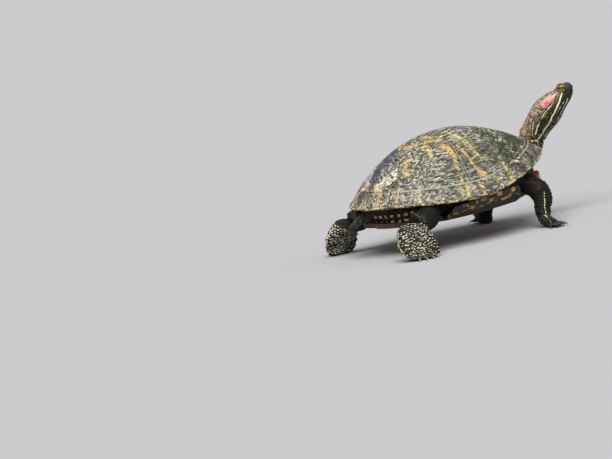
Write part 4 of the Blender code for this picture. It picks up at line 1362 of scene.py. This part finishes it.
def hornFinish(name, isRim=False):
    f = Finish(name, hornTones, 0.55, 0.4)
    seam, shadeAndSkyReflection, cream = (f.mark(word) for word in ("seam", "shadeAndSkyReflection", "cream"))
    streaked = f.stretched((0.26, 1, 1), (0, -shell["pitch"], 0))
    # dark horn, grey and bleached where it is worn
    crest = f.frayed(f.mark("crest"), 340, 3.0, 3, 0.6, streaked)
    worn = f.span(f.frayed(f.mark("worn"), 60, 1.2), 0.0, 1.0)
    f.paint("olive")
    f.paint("dark", f.speck(130, 0.44, 0.60), 0.7)
    f.paint("grey", f.span(crest, -0.05, 0.45), f.raised(worn, 0.65, 0.30))
    f.paint("algae", f.span(crest, 0.35, 0.80), f.raised(worn, 0.95, 0.15))
    f.paint("dark", f.span(crest, -0.10, -0.50), 0.92)
    f.paint("dark", f.speck(460, 0.54, 0.60, 3, 0.65, streaked), 0.9)
    if isRim:
        f.paint("purple", f.speck(200, 0.50, 0.58, 3, 0.6), 0.85)
    f.paint("pink", f.span(f.mark("pink"), 0.05, 0.45), f.speck(240, 0.50, 0.60, 4, 0.7), 0.6)
    # painted shade and painted sky reflection on the rear slope: dark slate blue, with painted
    # lilac highlights in flecks
    f.paint("shadeAndSkyReflection", f.span(shadeAndSkyReflection, 0.04, 0.32), 0.95)
    f.paint("skyHighlight", f.span(shadeAndSkyReflection, 0.10, 0.50), f.speck(260, 0.53, 0.66, 4, 0.6, streaked), 0.6)
    # yellow and orange figures with dark borders
    wavy = f.frayed(f.mark("stroke"), 430, 6.5, 4, 0.7)
    stripes = f.maths("SINE", f.times(wavy, 2.7))
    figure = f.mixed(f.frayed(f.mark("warm"), 160, 1.2, 2), "yellow", "orange")
    f.paint("border", f.span(wavy, 2.2, 0.7), 0.8)
    f.paint("yellow", f.span(stripes, 0.5, 0.95), f.span(wavy, 6.5, 1.5), 0.35)
    f.paint(figure, f.span(wavy, 0.9, -0.5), f.speck(420, 0.38, 0.50, 3, 0.65, streaked), 0.92)
    # cream patches near the rear of the shell, edged with dark specks
    creamPatch = f.span(cream, 0.06, 0.36)
    f.paint("cream", creamPatch, f.speck(380, 0.42, 0.54, 4, 0.7, streaked))
    f.paint("border", creamPatch, f.speck(520, 0.55, 0.62, 3, 0.6), 0.8)
    # bleached flecks and dark pits
    # bone flecks and dark pits go only where there is no painted sky reflection
    bare = f.span(shadeAndSkyReflection, 0.35, 0.10)
    fleck = f.speck(560, 0.535, 0.60, 4, 0.7, streaked)
    f.paint("bone", fleck, f.speck(90, 0.32, 0.52), bare, f.raised(worn, 0.75, 0.30))
    f.paint("dark", f.speck(520, 0.535, 0.59, 4, 0.7, f.stretched((0.5, 1, 1))), bare, 0.92)
    f.paint("algae", f.near(seam, 1.25, 0.5, 0.1), f.speck(150, 0.38, 0.55), 0.6)
    f.paint("dark", f.span(seam, 0.42, 0.12), f.speck(200, 0.42, 0.56, 2), 0.35 if isRim else 0.55)
    f.paint("moss", f.span(f.mark("moss"), 0.04, 0.36), f.speck(420, 0.42, 0.54, 4, 0.65))
    if isRim:
        lip, below = f.mark("lip"), f.mark("beneath")
        # algae and pink on the rim go only where there is no painted sky reflection
        awayFromReflection = f.span(shadeAndSkyReflection, 0.3, 0.1)
        band = f.times(f.span(lip, 1.0, 3.0), f.span(lip, 7.5, 5.5), f.span(worn, 0.25, 0.5))
        edge = f.times(f.span(lip, 0.75, 0.25), f.span(lip, -1.5, -0.6))
        f.paint("algae", f.span(lip, 7.9, 8.6), f.speck(150, 0.36, 0.50), awayFromReflection, 0.75)
        f.paint("pink", band, f.speck(260, 0.50, 0.58, 4, 0.65), awayFromReflection, 0.7)
        # beneath the rim: real dark ovals, and painted shade near black over the rest, with orange
        # outlines
        f.paint("underRimOvalAndShade", below, f.span(wavy, 0.2, 0.6), 0.95)
        f.paint("underRing", below, f.span(wavy, 0.5, -0.1), f.speck(260, 0.40, 0.52))
        f.paint("lip", edge, f.speck(170, 0.46, 0.58, 3, 0.6), 0.75)
    f.bump(f.grain(900, 3, 0.6), 0.0004, 0.9)
    f.bump(f.grain(380, 2, 0.5, streaked), 0.0006, 0.7)
    return f.done(f.span(f.grain(380), 0.3, 0.7, (0.36, 0.68)))


plastronTones = {
    "yellow": (0.40, 0.235, 0.045), "pale": (0.52, 0.36, 0.12), "brown": (0.22, 0.085, 0.018),
    # edge: near black red, painted shade along the plastron's outline
    "dark": (0.015, 0.011, 0.009), "edge": (0.020, 0.007, 0.006), "rust": (0.11, 0.022, 0.014),
    # bridge: near black, painted shade on the bridge under the shell
    "gular": (0.55, 0.15, 0.035), "bridge": (0.008, 0.005, 0.003), "streak": (0.12, 0.070, 0.030),
    "ring": (0.56, 0.32, 0.05), "seam": (0.05, 0.03, 0.02),
}


def plastronFinish():
    f = Finish("plastronYellow", plastronTones, 0.42, 0.45)
    oval, edge, side, port = (f.mark(word) for word in ("oval", "edge", "side", "port"))
    f.paint("yellow")
    f.paint("pale", f.speck(70, 0.35, 0.65))
    f.paint("brown", f.speck(160, 0.5, 0.72, 4, 0.6), 0.6)
    f.paint("dark", f.span(oval, 0.95, 0.75), f.speck(210, 0.30, 0.42))
    f.paint("dark", f.near(oval, 1.28, 0.12, 0.05), 0.7)
    # painted shade: near black along the plastron's outline, with a real rust line at the very edge
    f.paint("edge", f.span(edge, 7.0, 1.5), 0.96)
    f.paint("rust", f.span(edge, 3.0, 0.5), f.speck(190, 0.50, 0.62), 0.8)
    f.paint("gular", f.mark("gular"), f.speck(150, 0.36, 0.52))
    # painted shade: the bridge near black, as under the shell, with streaks and the real
    # orange-ringed figures on it
    f.paint("bridge", side, 0.98)
    f.paint("streak", side, f.speck(150, 0.60, 0.66, 2, 0.6, f.stretched((0.35, 1, 1))), 0.8)
    f.paint("ring", side, f.span(port, 1.50, 1.30), f.speck(170, 0.42, 0.54))
    f.paint("dark", side, f.span(port, 1.12, 0.95))
    f.paint("seam", f.span(f.mark("seam"), 0.7, 0.15), 0.85)
    f.bump(f.grain(700), 0.0002, 0.6)
    return f.done()


skinTones = {
    "dark": (0.010, 0.010, 0.007), "olive": (0.026, 0.025, 0.014), "nape": (0.36, 0.25, 0.17),
    "rose": (0.47, 0.32, 0.26), "bone": (0.62, 0.56, 0.46), "vein": (0.26, 0.26, 0.16),
    # leg: near black, partly the legs' own dark skin and partly painted shade from the shell
    "leg": (0.003, 0.003, 0.0025), "snout": (0.060, 0.038, 0.036), "border": (0.008, 0.009, 0.006),
    "pale": (0.66, 0.62, 0.36), "amber": (0.60, 0.38, 0.13), "blush": (0.66, 0.50, 0.37),
    "red": (0.52, 0.060, 0.060), "pink": (0.70, 0.31, 0.28), "rump": (0.74, 0.48, 0.25),
    "rumpLow": (0.84, 0.81, 0.66), "scale": (0.56, 0.51, 0.41), "green": (0.24, 0.25, 0.18),
    "gap": (0.004, 0.004, 0.003),
}


def skinFinish(name, scaled):
    f = Finish(name, skinTones, 0.5, 0.14)
    nape, fold, pale, blush, red = (f.mark(w) for w in ("nape", "fold", "pale", "blush", "red"))
    f.paint("dark")
    f.paint("olive", f.speck(330, 0.40, 0.66, 4, 0.6))
    # the brown back of the neck, cracked along its folds
    cracks = f.frayed(fold, 420, 2.2, 3, 0.6)
    f.paint("nape", nape, f.speck(480, 0.34, 0.56, 3, 0.6))
    f.paint("bone", nape, f.speck(760, 0.54, 0.62, 3, 0.7), 0.7)
    f.paint("dark", nape, f.speck(470, 0.52, 0.60, 4, 0.7), 0.85)
    f.paint("rose", f.span(nape, 0.80, 1.0), f.speck(180, 0.42, 0.60), 0.45)
    f.paint("dark", nape, f.span(cracks, 0.25, -0.35), f.span(fold, -8, -7), 0.92)
    f.paint("vein", f.span(cracks, 0.65, 1.0), f.span(nape, 0.6, 0.1), 0.55)
    # legs darker: partly their own dark skin, partly painted shade where the shell shades them
    f.paint("leg", f.mark("leg"), 0.75)
    f.paint("snout", f.mark("snout"), 0.85)
    f.paint("dark", f.mark("throat"), 0.5)
    # stripes, amber at the foot of the neck
    stripe = f.frayed(pale, 620, 1.6, 3, 0.6)
    f.paint("border", f.span(stripe, 1.2, 0.35), 0.75)
    f.paint(f.mixed(f.mark("base"), "pale", "amber"), f.span(stripe, 0.20, -0.20))
    f.paint("blush", f.span(blush, 0.25, -0.35))
    f.paint("dark", f.span(f.mark("ink"), 0.30, -0.10), 0.9)
    # the red patch, pinker above
    patch = f.frayed(red, 330, 4.5, 4, 0.65)
    above = f.span(f.frayed(nape, 240, 0.8, 2), 0.66, 0.98)
    f.paint("dark", f.span(red, 0.9, 0.2), 0.6)
    f.paint("blush", f.span(patch, 1.5, 0.4), 0.45)
    f.paint(f.mixed(above, "red", "pink"), f.span(patch, 0.55, -0.75))
    # pale marks in rows on the rump
    rump = f.mixed(f.mark("lower"), "rump", "rumpLow")
    f.paint(rump, f.span(f.mark("rump"), 0.30, 0.6), f.speck(420, 0.36, 0.50, 3, 0.6))
    if scaled:
        crown, bright = f.mark("crown"), f.mark("bright")
        tint = f.mixed(f.speck(170, 0.42, 0.60, 2), "scale", "green")
        plain = f.times(f.span(pale, -0.1, 0.3), f.span(red, 0, 0.4), f.span(blush, 0, 0.4))
        top = f.span(crown, 0.40, 0.78)
        f.paint(tint, top, bright, plain, f.speck(560, 0.38, 0.50, 3, 0.6))
        f.paint("gap", f.span(crown, 0.30, 0.0), bright, 0.95)
    f.bump(f.cells(1050), 0.00022, 0.7)
    f.bump(f.grain(600), 0.0003, 0.5)
    return f.done(f.span(f.grain(500, 2), 0.3, 0.7, (0.40, 0.60)))


eyeTones = {
    "white": (0.020, 0.018, 0.010), "irisDark": (0.085, 0.062, 0.006),
    "irisGold": (0.40, 0.31, 0.05), "bar": (0.010, 0.010, 0.006),
    "pupil": (0.004, 0.004, 0.004), "ring": (0.52, 0.44, 0.06),
}


def eyeFinish():  # marks in mm from the middle of the pupil
    f = Finish("turtleEye", eyeTones, 0.22, 0.16)
    high, front = f.mark("high"), f.mark("front")
    iris = f.mixed(f.speck(1300, 0.38, 0.66, 3, 0.6), "irisDark", "irisGold")
    f.paint("white")
    f.paint(iris, f.span(front, 3.72, 3.5))
    f.paint("bar", f.near(high, 0.0, 1.15, 0.8), f.span(front, 3.8, 3.6))
    f.paint("pupil", f.span(front, 1.18, 1.0))
    f.paint("ring", f.near(front, 1.30, 0.14, 0.05), 0.3)
    f.shader.inputs["Coat Weight"].default_value = 0.06
    f.shader.inputs["Coat Roughness"].default_value = 0.06
    return f.done()


clawTones = {"dark": (0.022, 0.018, 0.013), "tip": (0.42, 0.36, 0.25), "streak": (0.10, 0.08, 0.05)}


def clawFinish():
    f = Finish("clawHorn", clawTones, 0.35, 0.5)
    f.paint("dark")
    f.paint("tip", f.span(f.mark("outward"), 0.35, 1.0), 0.75)
    f.paint("streak", f.speck(600, 0.5, 0.7, 3, 0.6, f.stretched((1, 1, 3))), 0.6)
    f.bump(f.grain(900, 2), 0.0001, 0.5)
    return f.done()


wear(scutes, hornFinish("carapaceHorn"))
wear([marginals], hornFinish("rimHorn", True))
wear([belly], plastronFinish())
wear([skin], skinFinish("turtleHide", False))
wear(eyes, eyeFinish())
wear(claws, clawFinish())

fleshWords = ("head", "lower_jaw", "trunk", "tail", "neck_", "upper_arm", "forearm", "forefoot",
              "thigh", "shank", "hindfoot")
fleshNodes = [name for name in sorted(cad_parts) if name.startswith(fleshWords)]
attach(skin, "root")
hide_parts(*fleshNodes)
print("finishes are on")

# scales: low horny domes in rows round the limbs, finer grains on the neck
skinUv = "OFBake"
patchHalf = 0.0015  # of a scale's place in the map
rootCell = 0.003
soleRoot = 0.0009  # no scale stands lower than this
scaleShapes = {  # rings of radius, height and crown
    "plate": {"sides": 8, "rings": ((1.0, -0.45, 0.0), (0.93, 0.45, 0.35), (0.62, 0.88, 0.8))},
    "grain": {"sides": 6, "rings": ((1.0, -0.45, 0.0), (0.78, 0.62, 0.55))},
}
scaleFields = (  # t from and to, spacing along and round, half length and width, paleness
    {"loft": "hindfoot", "t": (0.15, 3.96), "gap": (1.95, 3.3), "half": (0.98, 1.78),
     "high": 0.58, "tilt": 0.30, "bright": (1.0, 0.9), "shape": "plate", "stray": 0.34},
    {"loft": "hindleg", "t": (3.2, 3.9), "gap": (2.4, 2.5), "half": (1.15, 1.08),
     "high": 0.5, "tilt": 0.12, "bright": (0.02, 0.30), "shape": "plate"},
    {"loft": "hindleg", "t": (1.1, 3.2), "gap": (1.9, 1.9), "half": (0.92, 0.88),
     "high": 0.26, "tilt": 0.05, "bright": (0.0, 0.01), "shape": "grain"},
    {"loft": "forefoot", "t": (0.2, 3.9), "gap": (2.1, 2.2), "half": (1.05, 0.98),
     "high": 0.5, "tilt": 0.15, "bright": (0.02, 0.34), "shape": "plate"},
    {"loft": "foreleg", "t": (2.2, 4.9), "gap": (2.5, 2.5), "half": (1.22, 1.12),
     "high": 0.42, "tilt": 0.12, "bright": (0.01, 0.05), "shape": "plate"},
    {"loft": "foreleg", "t": (0.8, 2.2), "gap": (2.0, 2.0), "half": (0.95, 0.92),
     "high": 0.36, "tilt": 0.08, "bright": (0.01, 0.03), "shape": "grain"},
    {"loft": "tail", "t": (0.8, 3.9), "gap": (1.9, 1.9), "half": (0.95, 0.86),
     "high": 0.42, "tilt": 0.10, "bright": (0.20, 0.35), "shape": "plate"},
    {"loft": "head", "t": (0.8, 8.15), "gap": (1.45, 1.5), "half": (0.70, 0.66),
     "high": 0.30, "tilt": 0.03, "bright": (0.0, 0.0), "shape": "grain"},
)
toeScales = {"fore": (1.35, 0.34, 0.45), "hind": (1.6, 0.4, 0.72)}  # spacing, height, paleness
pocketScales = {"half": (0.86, 0.8), "high": 0.30, "tilt": 0.05, "bright": 0.06, "gap": 1.75}


def unwrapSkin():
    selectOnly(skin)
    skin.data.uv_layers.new(name=skinUv)
    bpy.ops.object.mode_set(mode="EDIT")
    bpy.ops.mesh.select_all(action="SELECT")
    bpy.ops.uv.smart_project(angle_limit=math.radians(66), island_margin=0.001)
    bpy.ops.object.mode_set(mode="OBJECT")


unwrapSkin()
print("skin is unwrapped")
skinFaces = [tuple(p.vertices) for p in skin.data.polygons]
skinTree = BVHTree.FromPolygons([Vector(p) for p in pointsOf(skin)], skinFaces)
loopPlace = np.empty(len(skin.data.loops) * 2, np.float32)
skin.data.uv_layers[skinUv].data.foreach_get("uv", loopPlace)
loopPlace = loopPlace.reshape(-1, 2)
taken = {}  # roots already used, by cell


def freeSpot(spot, reach):
    cell = tuple(math.floor(v / rootCell) for v in spot)
    for step in np.ndindex(3, 3, 3):
        others = taken.get(tuple(c + k - 1 for c, k in zip(cell, step)), ())
        if any((other - spot).length < reach for other in others):
            return False
    taken.setdefault(cell, []).append(spot)
    return True


def mapPlace(face):
    loops = skin.data.polygons[face]
    return loopPlace[loops.loop_start:loops.loop_start + loops.loop_total].mean(0)


def rowsOn(loft, start, end, gapAlong, gapRound):  # rows of places round a loft
    t = np.linspace(start, end, 200)
    centre = loftRow(loft, t)[:, :3]
    steps = np.linalg.norm(np.diff(centre, axis=0), axis=1)
    reach = np.concatenate([[0], np.cumsum(steps)]) / mm
    rows = np.interp(np.arange(0.5 * gapAlong, reach[-1], gapAlong), reach, t)
    places, turns = [], []
    for number, at in enumerate(rows):
        ring = loftPoints(loft, np.full(73, at), np.arange(73) * 5.0)
        steps = np.linalg.norm(np.diff(ring, axis=0), axis=1)
        along = np.concatenate([[0], np.cumsum(steps)]) / mm
        count = max(5, round(along[-1] / gapRound))
        spots = (np.arange(count) + 0.5 * (number % 2) + 0.25) / count * along[-1]
        turns.append(np.interp(spots % along[-1], along, np.arange(73) * 5.0))
        places.append(np.full(count, at))
    return np.concatenate(places), np.concatenate(turns)


def rootsOf(loft, t, degrees, spacing, most=1.3):  # where scales stand on the skin
    roots = []
    for spot, way in zip(loftPoints(loft, t, degrees), loftFrame(loft, t)[0]):
        place, normal, face, away = skinTree.find_nearest(Vector(spot))
        if away > most * mm or place.z < soleRoot or not freeSpot(place, spacing * mm * 0.72):
            continue
        roots.append((place, normal, Vector(way), mapPlace(face)))
    return roots


def scaleShape(kind):  # one scale of half length and height 1: its points, crown and faces
    sides, rings = kind["sides"], kind["rings"]
    turn = (np.arange(sides) + 0.5) / sides * math.tau
    flat = np.stack([np.cos(turn), np.sin(turn)], 1)
    points = [np.column_stack([flat * r, np.full(sides, h)]) for r, h, _ in rings]
    points = np.vstack(points + [(0, 0, 1.0)])
    crown = np.concatenate([np.full(sides, c) for _, _, c in rings] + [[1.0]])
    faces, top, last = [], (len(rings) - 1) * sides, len(points) - 1
    for start in range(0, top, sides):
        for i in range(sides):
            j = (i + 1) % sides
            faces.append((start + i, start + j, start + sides + j, start + sides + i))
    faces += [(top + i, top + (i + 1) % sides, last, last) for i in range(sides)]
    return points, crown, np.array(faces), np.arange(sides)[::-1]


def scalePiece(name, groups):  # one mesh from many scales
    pointSets, faceSets, crowns, brights, uvSets, count = [], [], [], [], [], 0
    for roots, half, high, tilt, bright, kind in groups:
        if not roots:
            continue
        shape, crown, faces, base = scaleShape(scaleShapes[kind])
        place, up, way, uv = (np.array([root[k] for root in roots]) for k in range(4))
        way = unit(way - up * (way * up).sum(1)[:, None])
        across = np.cross(up, way)
        vary = 1 + 0.16 * noise(place / mm, 2.2, 95)
        local = shape[None] * np.array((half[0], half[1], high)) * vary[:, None, None]
        local[:, :, 2] += tilt * np.maximum(0, shape[None, :, 0] + 0.3) * (shape[None, :, 2] > 0)
        along, aside, rise = (local[:, :, k:k + 1] for k in range(3))
        spots = along * way[:, None] + aside * across[:, None] + rise * up[:, None]
        offset = count + np.arange(len(roots))[:, None, None] * len(shape)
        faceSets += [tuple(dict.fromkeys(f)) for f in (faces + offset).reshape(-1, 4).tolist()]
        faceSets += (base + offset[:, 0]).tolist()
        pointSets.append((place[:, None] + mm * spots).reshape(-1, 3))
        crowns.append(np.tile(crown, len(roots)))
        shade = np.clip(bright * (1 + 0.30 * noise(place / mm, 3.1, 96)), 0, 1)
        brights.append(np.repeat(shade, len(shape)))
        uvSets.append((uv[:, None] + patchHalf * shape[None, :, :2]).reshape(-1, 2))
        count += len(roots) * len(shape)
    piece = newPiece(name, np.vstack(pointSets), faceSets)
    uvAll = np.clip(np.vstack(uvSets), 0, 1)
    layer = piece.data.uv_layers.new(name=skinUv)
    corners = np.empty(len(piece.data.loops), np.int32)
    piece.data.loops.foreach_get("vertex_index", corners)
    layer.data.foreach_set("uv", uvAll[corners].astype(np.float32).ravel())
    spots = pointsOf(piece)
    spots[:, 2] = np.maximum(spots[:, 2], 0.0002)
    movePoints(piece, spots)
    keep(piece, "crown", np.concatenate(crowns))
    keep(piece, "bright", np.concatenate(brights))
    markSkin(piece, spots)
    smoothShaded(piece)
    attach(piece, "root")
    print(name, len(piece.data.polygons), "faces")
    return piece


def fieldGroup(name, field):
    loft = lofts[name]
    t, degrees = rowsOn(loft, *field["t"], *field["gap"])
    stray = field.get("stray", 0.12)  # how far a scale stands off its row
    seeds = np.column_stack([t * 9.1, degrees * 0.7, t + degrees])
    t = np.clip(t + stray * 0.42 * noise(seeds, 1.3, 93), *field["t"])
    degrees = degrees + stray * 9 * noise(seeds, 1.7, 94)
    roots = rootsOf(loft, t, degrees, min(field["gap"]))
    at = alongLofts(np.array([root[0] for root in roots]), [name])[1]
    bright = np.interp(at, field["t"], field["bright"])
    return roots, field["half"], field["high"], field["tilt"], bright, field["shape"]


def toeGroup(kind, number, word):
    loft = lofts[f"{kind}Toe{number}{word}"]
    gap, high, bright = toeScales[kind]
    t, degrees = rowsOn(loft, 1.0, 2.95, gap, gap * 1.15)
    upper = (degrees > 5) & (degrees < 175)
    roots = rootsOf(loft, t[upper], degrees[upper], gap, 0.8)
    return roots, (gap * 0.52, gap * 0.5), high, 0.1, bright, "grain"


def pocketGroup():  # grains on the loose skin between the legs and the shell
    spots = pointsOf(skin)
    flat = toShell(spots)
    away = alongLofts(spots, limbNames)[3]
    bare = (away > 1.04) & (shareOf(flat[:, 0], flat[:, 1])[0] < 0.93)
    beside = (flat[:, 2] < 0.012) & (np.abs(flat[:, 1]) > lobeHalf(flat[:, 0]) - 0.004)
    behind = (flat[:, 2] < 0.014) & (flat[:, 0] < -0.080)
    roots = []
    for i in np.flatnonzero(bare & (beside | behind))[::2]:
        spot = Vector(spots[i])
        if freeSpot(spot, pocketScales["gap"] * mm):
            place, normal, face, _ = skinTree.find_nearest(spot)
            roots.append((place, normal, Vector((-1, 0, 0.2)), mapPlace(face)))
    return (roots, *(pocketScales[k] for k in ("half", "high", "tilt", "bright")), "grain")


scales = []
for word in ("Right", "Left"):
    for limb in ("hind", "fore"):
        groups = [toeGroup(limb, n + 1, word) for n in range(len(toeRows[limb]))]
        fields = [field for field in scaleFields if field["loft"].startswith(limb)]
        groups += [fieldGroup(field["loft"] + word, field) for field in fields]
        scales.append(scalePiece(f"{limb}Scales{word}", groups))
for field in scaleFields:
    if field["loft"] in ("tail", "head"):
        name = {"tail": "tailScales", "head": "neckGrains"}[field["loft"]]
        scales.append(scalePiece(name, [fieldGroup(field["loft"], field)]))
scales.append(scalePiece("pocketGrains", [pocketGroup()]))
wear(scales, skinFinish("turtleScales", True))
print("scales:", sum(len(o.data.polygons) for o in scales), "faces in", len(scales), "pieces")
